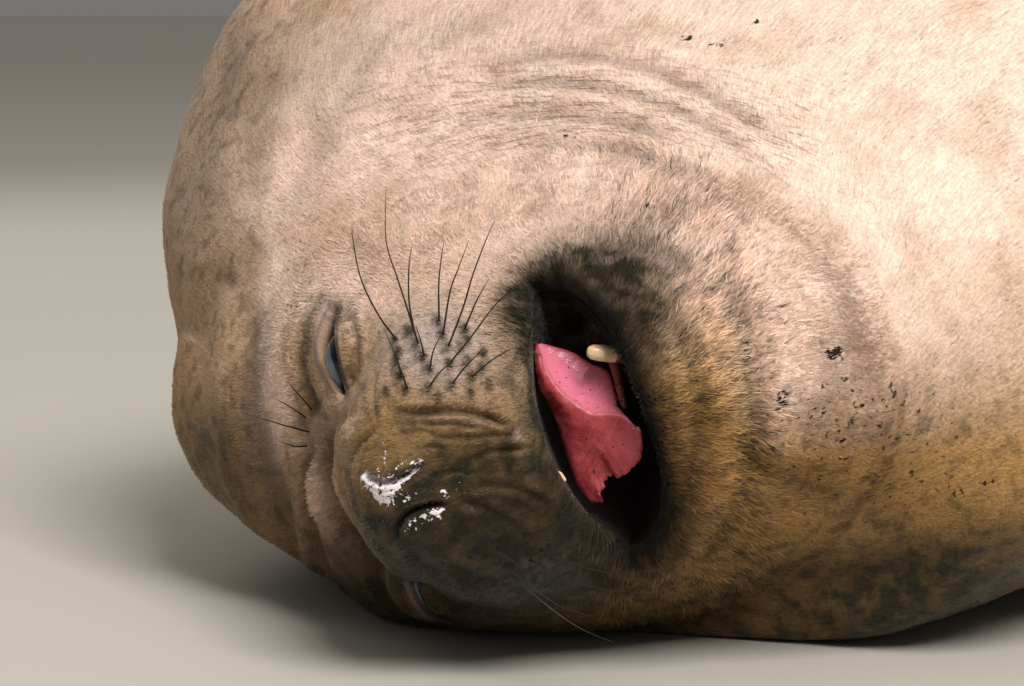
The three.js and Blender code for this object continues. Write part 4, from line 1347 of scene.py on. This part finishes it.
TONGUE_ROWS = 72
TONGUE_FRONT = 44  # columns across the front sheet, the rest lie on the upper part
TONGUE_TOP = 30
NICK = 1.9  # pixels by which the torn edge strays
FRONT_BULGE, TOP_HOLLOW = 4.0, 5.0  # millimetres
EDGE_ROUND = 2.2
PAPILLA, SWELLING, STRIPE = 0.35, 0.6, 0.6  # how high each kind of wrinkle is in millimetres
STRIPES_ALONG, STRIPES_ACROSS = 46, 3


def tongue_sheet():
    """The outer face of the tongue as rows and columns of pixels and nearness, from its rails and edge."""
    rails = TONGUE_OUTER, TONGUE_RIDGE, TONGUE_INNER
    outer, ridge, inner = (smooth_line(rail, TONGUE_ROWS) for rail in rails)
    edge = smooth_line(TONGUE_EDGE, TONGUE_FRONT)
    s = np.linspace(0, 1, TONGUE_ROWS)[:, None, None]
    q = np.linspace(0, 1, TONGUE_FRONT)[None, :, None]
    front = outer[:, None] * (1 - q) + ridge[:, None] * q
    nicks = np.zeros_like(edge)
    nicks[1:-1, :2] = NICK * np.random.default_rng(44).uniform(-1, 1, (len(edge) - 2, 2))
    front = front + (edge[None] + nicks[None] - front[-1:]) * s**8
    front[..., 2] += (FRONT_BULGE * np.sin(math.pi * q) * np.sin(math.pi * s) ** 0.7)[..., 0]
    q = np.linspace(0, 1, TONGUE_TOP + 1)[None, 1:, None]
    top = ridge[:, None] * (1 - q) + inner[:, None] * q
    top[..., 2] -= (TOP_HOLLOW * np.sin(math.pi * q) * np.sin(math.pi * s) ** 0.8)[..., 0]
    return np.concatenate([front, top], 1)


def whole(row):
    """One value for every point of both faces of the tongue, from one for each column."""
    return np.tile(np.broadcast_to(row, (rows, columns)).ravel(), 2)


sheet = tongue_sheet()
rows, columns = sheet.shape[:2]
flat = sheet.reshape(-1, 3)
outer_face = behind_pixel(flat[:, :2], flat[:, 2]).reshape(rows, columns, 3)
facing_out = grid_normals(outer_face)
facing_out[:, 0], facing_out[:, -1] = facing_out[:, 1], facing_out[:, -2]
facing_out *= np.sign((facing_out @ SIGHT_BACK).mean())
u = np.linspace(0, 1, rows)[:, None]
v = np.linspace(0, 1, columns)[None]
striped = np.stack(np.broadcast_arrays(u * STRIPES_ALONG, v * STRIPES_ACROSS, 0 * u), -1)
wrinkle = PAPILLA * grain(outer_face, 3.5, 41) + SWELLING * grain(outer_face, 9, 42)
wrinkle += STRIPE * grain(striped, 1, 43)
to_rim = np.minimum(np.minimum(u * 3, (1 - u)) * 60, np.minimum(v, 1 - v) * 60)
to_rim = np.clip(to_rim, 0, 6) / 6
roundness = np.sqrt(np.clip(1 - (1 - to_rim) ** 2, 0, 1))
outer_face = outer_face + facing_out * ((roundness - 1) * EDGE_ROUND + wrinkle * to_rim)[..., None]
inner_face = outer_face - SIGHT_BACK * (TONGUE_LEAST + (TONGUE_THICK * roundness))[..., None]
tongue_points = np.concatenate([outer_face.reshape(-1, 3), inner_face.reshape(-1, 3)])
row, k = np.meshgrid(np.arange(rows - 1), np.arange(columns - 1), indexing="ij")
here = row * columns + k
outside = np.stack([here, here + 1, here + columns + 1, here + columns], -1).reshape(-1, 4)
inside = outside[:, ::-1] + rows * columns
rim = np.concatenate(
    [
        np.arange(columns),
        np.arange(1, rows) * columns + columns - 1,
        (rows - 1) * columns + np.arange(columns - 2, -1, -1),
        np.arange(rows - 2, 0, -1) * columns,
    ]
)
after = np.roll(rim, -1)
band = np.stack([after, rim, rim + rows * columns, after + rows * columns], -1)
from_ridge = np.arange(columns) - TONGUE_FRONT
to_root = columns - np.arange(columns)
# Paler pink where the upper face is slick, partly painted light.
lit_and_shiny = np.clip((from_ridge + 3) / 6, 0, 1) * (1 - 0.7 * np.clip((16 - to_root) / 12, 0, 1))
rubbed = np.exp(-(((from_ridge + 1) / 1.6) ** 2))
marks = {"lit_and_shiny": whole(lit_and_shiny), "rim": whole(rubbed)}
tongue = make_mesh("tongue", tongue_points, [outside, inside, band], marks)
# Tongue muscle: wet flesh that lets some light in, a dull deep red with fine papillae in front, and slick
# above and along its ridge, where its paler pink is partly its own colour and partly painted light. Some
# sand sticks to it.
PAPILLAE = 1.4  # millimetres from one to the next
RED_PATCH = 16.0
SAND_GRAIN = 1.7
flesh, tree, shader = new_material("wet_tongue_muscle")
place_in = add(tree, "TexCoord", output="Object")
noises = [
    add(tree, "TexNoise", {"Vector": place_in, "Scale": 1000 / size, "Detail": detail})
    for size, detail in ((PAPILLAE, 2.0), (RED_PATCH, 3.0), (SAND_GRAIN, 0.0))
]
papillae, patches, sand = noises
is_red = add(tree, "MapRange", {"Value": patches, "From Min": 0.35, "From Max": 0.7})
is_sand = add(tree, "MapRange", {"Value": sand, "From Min": 0.76, "From Max": 0.8})
is_lit_and_shiny, is_rim = (add(tree, "Attribute", {"attribute_name": mark}, "Fac") for mark in ("lit_and_shiny", "rim"))
colour = "#932d33"
for share, tint in ((is_red, "#ad474e"), (is_lit_and_shiny, "#d8748b"), (is_rim, "#c8707a"), (is_sand, GRIME_AND_SHADE)):
    colour = add(tree, "MixRGB", {"Fac": share, "Color1": colour, "Color2": tint})
gloss = add(tree, "MapRange", {"Value": is_lit_and_shiny, "To Min": 0.42, "To Max": 0.2})
bumped = add(tree, "Bump", {"Strength": 0.5, "Distance": 0.0008, "Height": papillae})
give(tree, shader, {"Base Color": colour, "Roughness": gloss, "Normal": bumped})
give(tree, shader, {"Subsurface Weight": 0.12, "Subsurface Radius": (0.006, 0.002, 0.0015)})
tongue.data.materials.append(flesh)
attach(tongue, "root")
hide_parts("tongue")

# The canines: a blunt, worn lower one of ivory, whose root is set in the gum, and the point of an upper one
# that shows under the lip.
LOWER_CANINE = [(618, 355, -19), (611, 354, -14), (601, 353, -10), (592, 352, -9), (588, 351.5, -9.5)]
UPPER_CANINE = [(552, 474, -14), (559, 476, -12), (565, 481, -13)]
CANINES = [
    # name, path in the picture's pixels and nearness, radii in millimetres, how many points round it
    ("lower_canine", LOWER_CANINE, [4.4, 4.9, 4.9, 4.3, 2.6], 18),
    ("upper_canine", UPPER_CANINE, [3.0, 2.6, 1.2], 14),
]
STAIN = 6.0  # millimetres from one stain to the next


def rod_at(path, radii, around=14):
    """A tapering rod along a path of pixels and nearness."""
    path = np.array(path, float)
    return taper(behind_pixel(path[:, :2], path[:, 2]), radii, around)


# Worn ivory: smooth and wet, cream with brownish yellow stains.
ivory, tree, shader = new_material("worn_ivory_tooth")
place_in = add(tree, "TexCoord", output="Object")
stain = add(tree, "TexNoise", {"Vector": place_in, "Scale": 1000 / STAIN, "Detail": 3.0})
stained = add(tree, "MapRange", {"Value": stain, "From Min": 0.4, "From Max": 0.7})
colour = add(tree, "MixRGB", {"Fac": stained, "Color1": "#f7e6c4", "Color2": "#dba673"})
give(tree, shader, {"Base Color": colour, "Roughness": 0.28})
for name, path, radii, around in CANINES:
    tooth = make_mesh(name, *rod_at(path, radii, around))
    tooth.data.materials.append(ivory)
    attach(tooth, "root")
    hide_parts(name)

# The gums: the ridge of flesh along the lower jaw, with a collar round the root of the canine and two small
# bumps where worn cheek teeth hardly break through.
GUM_RIDGE = [(611, 356, -20), (615, 368, -17), (618, 380, -15), (621, 394, -14), (625, 410, -14)]
GUMS = [
    (GUM_RIDGE, [3, 2.6, 2.4, 2.2, 2]),
    ([(617, 386, -14), (621, 386, -11)], [1.8, 1.2]),
    ([(620, 399, -13), (625, 399, -10)], [1.8, 1.2]),
    ([(627, 352, -16), (616, 353, -12)], [6.6, 5.2]),
]
gum = make_mesh("gums", *gather([rod_at(path, radii) for path, radii in GUMS]))
# Gum: firm wet flesh of a dark brownish pink, glossy with spit.
pink, tree, shader = new_material("wet_pink_gum")
give(tree, shader, {"Base Color": "#6e3431", "Roughness": 0.25})
gum.data.materials.append(pink)
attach(gum, "root")

# The whiskers: stiff, dark, wavy bristles from the pads, under the muzzle and a few above the eye. They are
# drawn a little thicker than life so that they show.
WHISKERS = [
    # root to tip in the picture's pixels, and how far the tip stands nearer to the viewer in millimetres
    ([(396, 339), (379, 316), (361, 279), (353, 240), (352, 226)], 40),
    ([(418, 343), (408, 311), (397, 277), (386, 240), (386, 187)], 55),
    ([(414, 331), (409, 300), (409, 266), (412, 245)], 40),
    ([(439, 320), (439, 279), (444, 240)], 40),
    ([(443, 334), (450, 292), (458, 269), (469, 240)], 45),
    ([(448, 347), (463, 308), (473, 274), (486, 240), (495, 220)], 55),
    ([(465, 328), (477, 300), (489, 279)], 32),
    ([(450, 363), (471, 337), (497, 303), (527, 279)], 45),
    ([(424, 355), (421, 342), (416, 326)], 14),
    ([(430, 368), (433, 352), (440, 336)], 16),
    ([(407, 388), (400, 368), (390, 346)], 16),
    ([(452, 384), (466, 366), (484, 348)], 18),
    ([(473, 376), (492, 360), (516, 346)], 20),
    ([(401, 376), (396, 356), (386, 334)], 16),
    ([(429, 387), (440, 372), (454, 360)], 14),
    ([(505, 563), (528, 584), (560, 606), (590, 616)], 30),
    ([(530, 560), (570, 580), (610, 590), (650, 593)], 30),
    ([(512, 575), (540, 600), (576, 626), (612, 642)], 26),
    ([(540, 550), (580, 566), (612, 573), (640, 572)], 26),
    ([(496, 548), (520, 566), (548, 578)], 18),
    ([(306, 418), (292, 408), (272, 397)], 14),
    ([(309, 432), (280, 424), (241, 412)], 22),
    ([(308, 446), (294, 446), (278, 441)], 12),
    ([(312, 410), (300, 396), (286, 380)], 12),
]
WHISKER_RADII = [0.62, 0.5, 0.36, 0.12]  # millimetres
WHISKER_SUNK = 1.5
seen_pixels, seen_points = [], []
for block in BLOCKS.values():
    pixels, facing = picture_of(block)
    shown = (facing > 0.05) & (block["along"].ravel() > LIPS)
    seen_pixels.append(pixels[shown])
    seen_points.append(block["points"].reshape(-1, 3)[shown])
seen_pixels, seen_points = np.concatenate(seen_pixels), np.concatenate(seen_points)


def skin_nearness(pixel):
    """How near to the viewer the skin is at a pixel, in millimetres from the nose."""
    close = np.hypot(*(seen_pixels - pixel).T) < 3
    return ((seen_points[close] - NOSE) @ SIGHT_BACK).max()


bristles = []
for corners, lift in WHISKERS:
    line = smooth_line(corners, 12)
    share = np.linspace(0, 1, len(line))
    depth = skin_nearness(line[0]) - WHISKER_SUNK + lift * share**0.8
    bristles.append(taper(behind_pixel(line, depth), WHISKER_RADII, 6))
whiskers = make_mesh("whiskers", *gather(bristles))
# Whisker: smooth, nearly black horn that catches the light along its length.
bristle, tree, shader = new_material("stiff_dark_whisker")
give(tree, shader, {"Base Color": "#1a130c", "Roughness": 0.4})
whiskers.data.materials.append(bristle)
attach(whiskers, "root")

# The coat: short stiff hairs that stick together in tufts and break the smooth skin. It is shortest on the
# face, longest and rough round the chin and on the trunk, and lies flat from head to tail.
CHIN_SEEN = (672, 420), (70, 165), 1.5  # an oval of the picture's pixels, and how steeply it ends
CHIN_CORNER_SEEN = (585, 306), (55, 38), 1.5  # the same at the corner of the mouth


def chin_share(block):
    """How much of the rough hair grows at each point of a block."""
    pixels, facing = picture_of(block)
    chin = oval(pixels, *CHIN_SEEN) * (facing > -0.1)
    corner = 1.2 * oval(pixels, *CHIN_CORNER_SEEN) * (facing > -0.3)
    return (chin + corner).reshape(block["phi"].shape)


def rear(block):
    return smoothly(block["along"], 15.2, 17)


SLEEK = 0.2, 22, LIPS - 0.6  # how uneven its shade is, how many degrees its locks sway, where it begins
ROUGH = 0.6, 14, 1.0
COATS = [
    # name, block, tufts, length in millimetres, how far each stands up and spreads in degrees, half width
    ("coat_face", "face", 60000, 3.2, 16, 16, 0.28, SLEEK, lambda b: 1 - smoothly(b["along"], 10.5, 12.5)),
    ("coat_chin", "face", 56000, 9.0, 22, 15, 0.36, ROUGH, chin_share),
    ("coat_neck", "face", 52000, 5.5, 11, 14, 0.36, SLEEK, lambda b: smoothly(b["along"], 9.5, 11.5)),
    ("coat_shoulder", "trunk", 64000, 5.5, 8, 12, 0.36, SLEEK, lambda b: 1 - smoothly(b["along"], 15.5, 17)),
    ("coat_upper_flank", "trunk", 60000, 9, 7, 10, 0.6, SLEEK, lambda b: rear(b) * (np.sin(b["phi"]) > 0)),
    ("coat_lower_flank", "trunk", 50000, 9, 7, 10, 0.6, SLEEK, lambda b: rear(b) * (np.sin(b["phi"]) <= 0)),
]
# No tufts stand where one of these marks is at its limit or over.
BARE_FROM = {"lining": 0.75, "grit": 0.35, "slit": 0.3, "lid": 0.35}
COAT_LOW = 1.5  # millimetres above the floor, below which no tufts are rooted
TUFT_LOW = 0.15


def sample(grid, row, column):
    """Values of a grid that closes on itself across, at places between its points."""
    r, k = row.astype(int), column.astype(int)
    down, right = row - r, column - k
    if grid.ndim == 3:
        down, right = down[:, None], right[:, None]
    r2 = np.minimum(r + 1, grid.shape[0] - 1)
    k2 = (k + 1) % grid.shape[1]
    near = grid[r, k] * (1 - right) + grid[r, k2] * right
    far = grid[r2, k] * (1 - right) + grid[r2, k2] * right
    return near * (1 - down) + far * down


# Standing fur: the same colours as the skin's, each tuft lighter or darker as a lock of wet hair is.
tuft_fur = fur_material("standing_seal_fur", tuft=True)
PATCH = 0.003
PATCH_CORNERS = np.array([[0, 0], [1, 0], [1, 0.5], [0, 0.5], [0.5, 1]]) * PATCH
LOCK_WIDE = 4.0  # millimetres across a lock of hairs that stick together
LOCK_SHAPE = np.array([6.0, 1.0, 1.0])  # times as long as wide
for number, (name, block_name, count, long, stands, spread, half_wide, kind, share) in enumerate(COATS):
    block = BLOCKS[block_name]
    points = block["points"]
    uneven, sway, begins = kind
    weight = share(block) * (points[..., 2] > COAT_LOW) * (block["along"] > begins)
    for mark, limit in BARE_FROM.items():
        weight = weight * (block[mark] < limit)
    across = np.roll(points, -1, 1) - points
    onward = np.diff(points, axis=0)
    area = np.linalg.norm(np.cross(across[:-1], onward), axis=-1)
    chance = (weight[:-1] * area).ravel()
    rng = np.random.default_rng(100 + number)
    cell = rng.choice(len(chance), count, p=chance / chance.sum())
    row = cell // points.shape[1] + rng.random(count)
    column = cell % points.shape[1] + rng.random(count)
    root = sample(points, row, column)
    out = sample(block["normal"], row, column)
    out /= np.linalg.norm(out, axis=-1, keepdims=True)
    lie_way = sample(np.gradient(points, axis=0), row, column)
    lie_way -= out * (lie_way * out).sum(-1, keepdims=True)
    lie_way /= np.linalg.norm(lie_way, axis=-1, keepdims=True)
    turn = np.radians(rng.normal(0, spread, count) + sway * grain(root, 18, 51))[:, None]
    lie_way = lie_way * np.cos(turn) + np.cross(out, lie_way) * np.sin(turn)
    side = np.cross(out, lie_way)
    size = (long * rng.uniform(0.6, 1.25, count))[:, None]
    rise = np.radians(stands * rng.uniform(0.5, 1.5, count))[:, None]
    base = root - out * 0.4
    middle = root + size * 0.5 * (lie_way * np.cos(rise) + out * np.sin(rise))
    tip = root + size * (lie_way * np.cos(rise) + out * np.sin(rise) * 0.8)
    wide = side * half_wide * rng.uniform(0.7, 1.2, count)[:, None]
    blades = np.stack([base - wide, base + wide, middle + wide * 0.8, middle - wide * 0.8, tip], 1)
    blades[..., 2] = np.maximum(blades[..., 2], TUFT_LOW)
    start = np.arange(count)[:, None] * 5
    three = np.concatenate([start + [0, 1, 2], start + [0, 2, 3], start + [3, 2, 4]])
    marks = {mark: np.repeat(sample(block[mark], row, column), 5) for mark in MARKS}
    lie = sample(block["lie"], row, column)
    lock = grain(lie / LOCK_SHAPE, LOCK_WIDE, 61)
    marks["shade"] = np.repeat(1 + uneven * (rng.uniform(-0.9, 1, count) + 0.9 * lock), 5)
    lie = np.repeat(lie, 5, 0)
    angle = np.arctan2(lie[:, 2], lie[:, 1]) / (2 * math.pi) % 1
    patch = np.stack([lie[:, 0] / travelled[-1], angle], -1) * (1 - PATCH)
    patch = patch + np.tile(PATCH_CORNERS, (count, 1))
    coat = make_mesh(name, blades.reshape(-1, 3), [three], marks, lie, patch)
    coat.data.materials.append(tuft_fur)
    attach(coat, "root")

# The floor: a wide slab of plain pale plaster that the seal rests on. It takes the place of the ground and
# runs on to the horizon.
FLOOR_HALF = 200_000  # millimetres
corners = np.array([[-1, -1, 0], [1, -1, 0], [1, 1, 0], [-1, 1, 0]])
floor = make_mesh("floor", corners * FLOOR_HALF + ORIGIN, [[[0, 1, 2, 3]]])
# Matt plaster: rough enough that nothing mirrors in it.
plaster, tree, shader = new_material("matt_pale_plaster")
give(tree, shader, {"Base Color": "#b9b4ab", "Roughness": 0.9})
floor.data.materials.append(plaster)

# The lights: one large soft lamp above and behind the viewer, a weak one from behind the seal, and a wide
# weak glow from overhead with an even pale sky, as under thin cloud.
LAMP_TINT = (1.0, 0.97, 0.93)
LIGHTS = [
    # name, place, where it aims, size in metres and power in watts
    ("key", (4.5, -3.9, 5.8), (-0.1, -0.9, 0.2), 3.4, 740),
    ("back", (-3.2, 1.2, 2.6), (-0.2, -0.4, 0.3), 2.0, 30),
]
OVERHEAD_POWER = 0.45
OVERHEAD_WIDE = 70  # degrees
SKY = "#ebe8e2"
SKY_STRENGTH = 0.22
for name, at, aim, size, power in LIGHTS:
    lamp = bpy.data.lights.new(name, "AREA")
    lamp.size = size
    lamp.energy = power
    lamp.color = LAMP_TINT
    light = bpy.data.objects.new(name, lamp)
    bpy.context.scene.collection.objects.link(light)
    heading = np.array(aim) - np.array(at)
    back_axis = -heading / np.linalg.norm(heading)
    side_axis = np.cross([0, 0, 1], back_axis)
    side_axis /= np.linalg.norm(side_axis)
    light.matrix_world = turned(side_axis, np.cross(back_axis, side_axis), back_axis, at)

overhead = bpy.data.lights.new("overhead", "SUN")
overhead.energy = OVERHEAD_POWER
overhead.angle = math.radians(OVERHEAD_WIDE)
overhead.color = LAMP_TINT
bpy.context.scene.collection.objects.link(bpy.data.objects.new("overhead", overhead))

sky = bpy.data.worlds.new("sky")
sky.use_nodes = True
give(sky.node_tree, sky.node_tree.nodes["Background"], {"Color": SKY, "Strength": SKY_STRENGTH})
bpy.context.scene.world = sky
bpy.context.scene.view_settings.view_transform = "Standard"
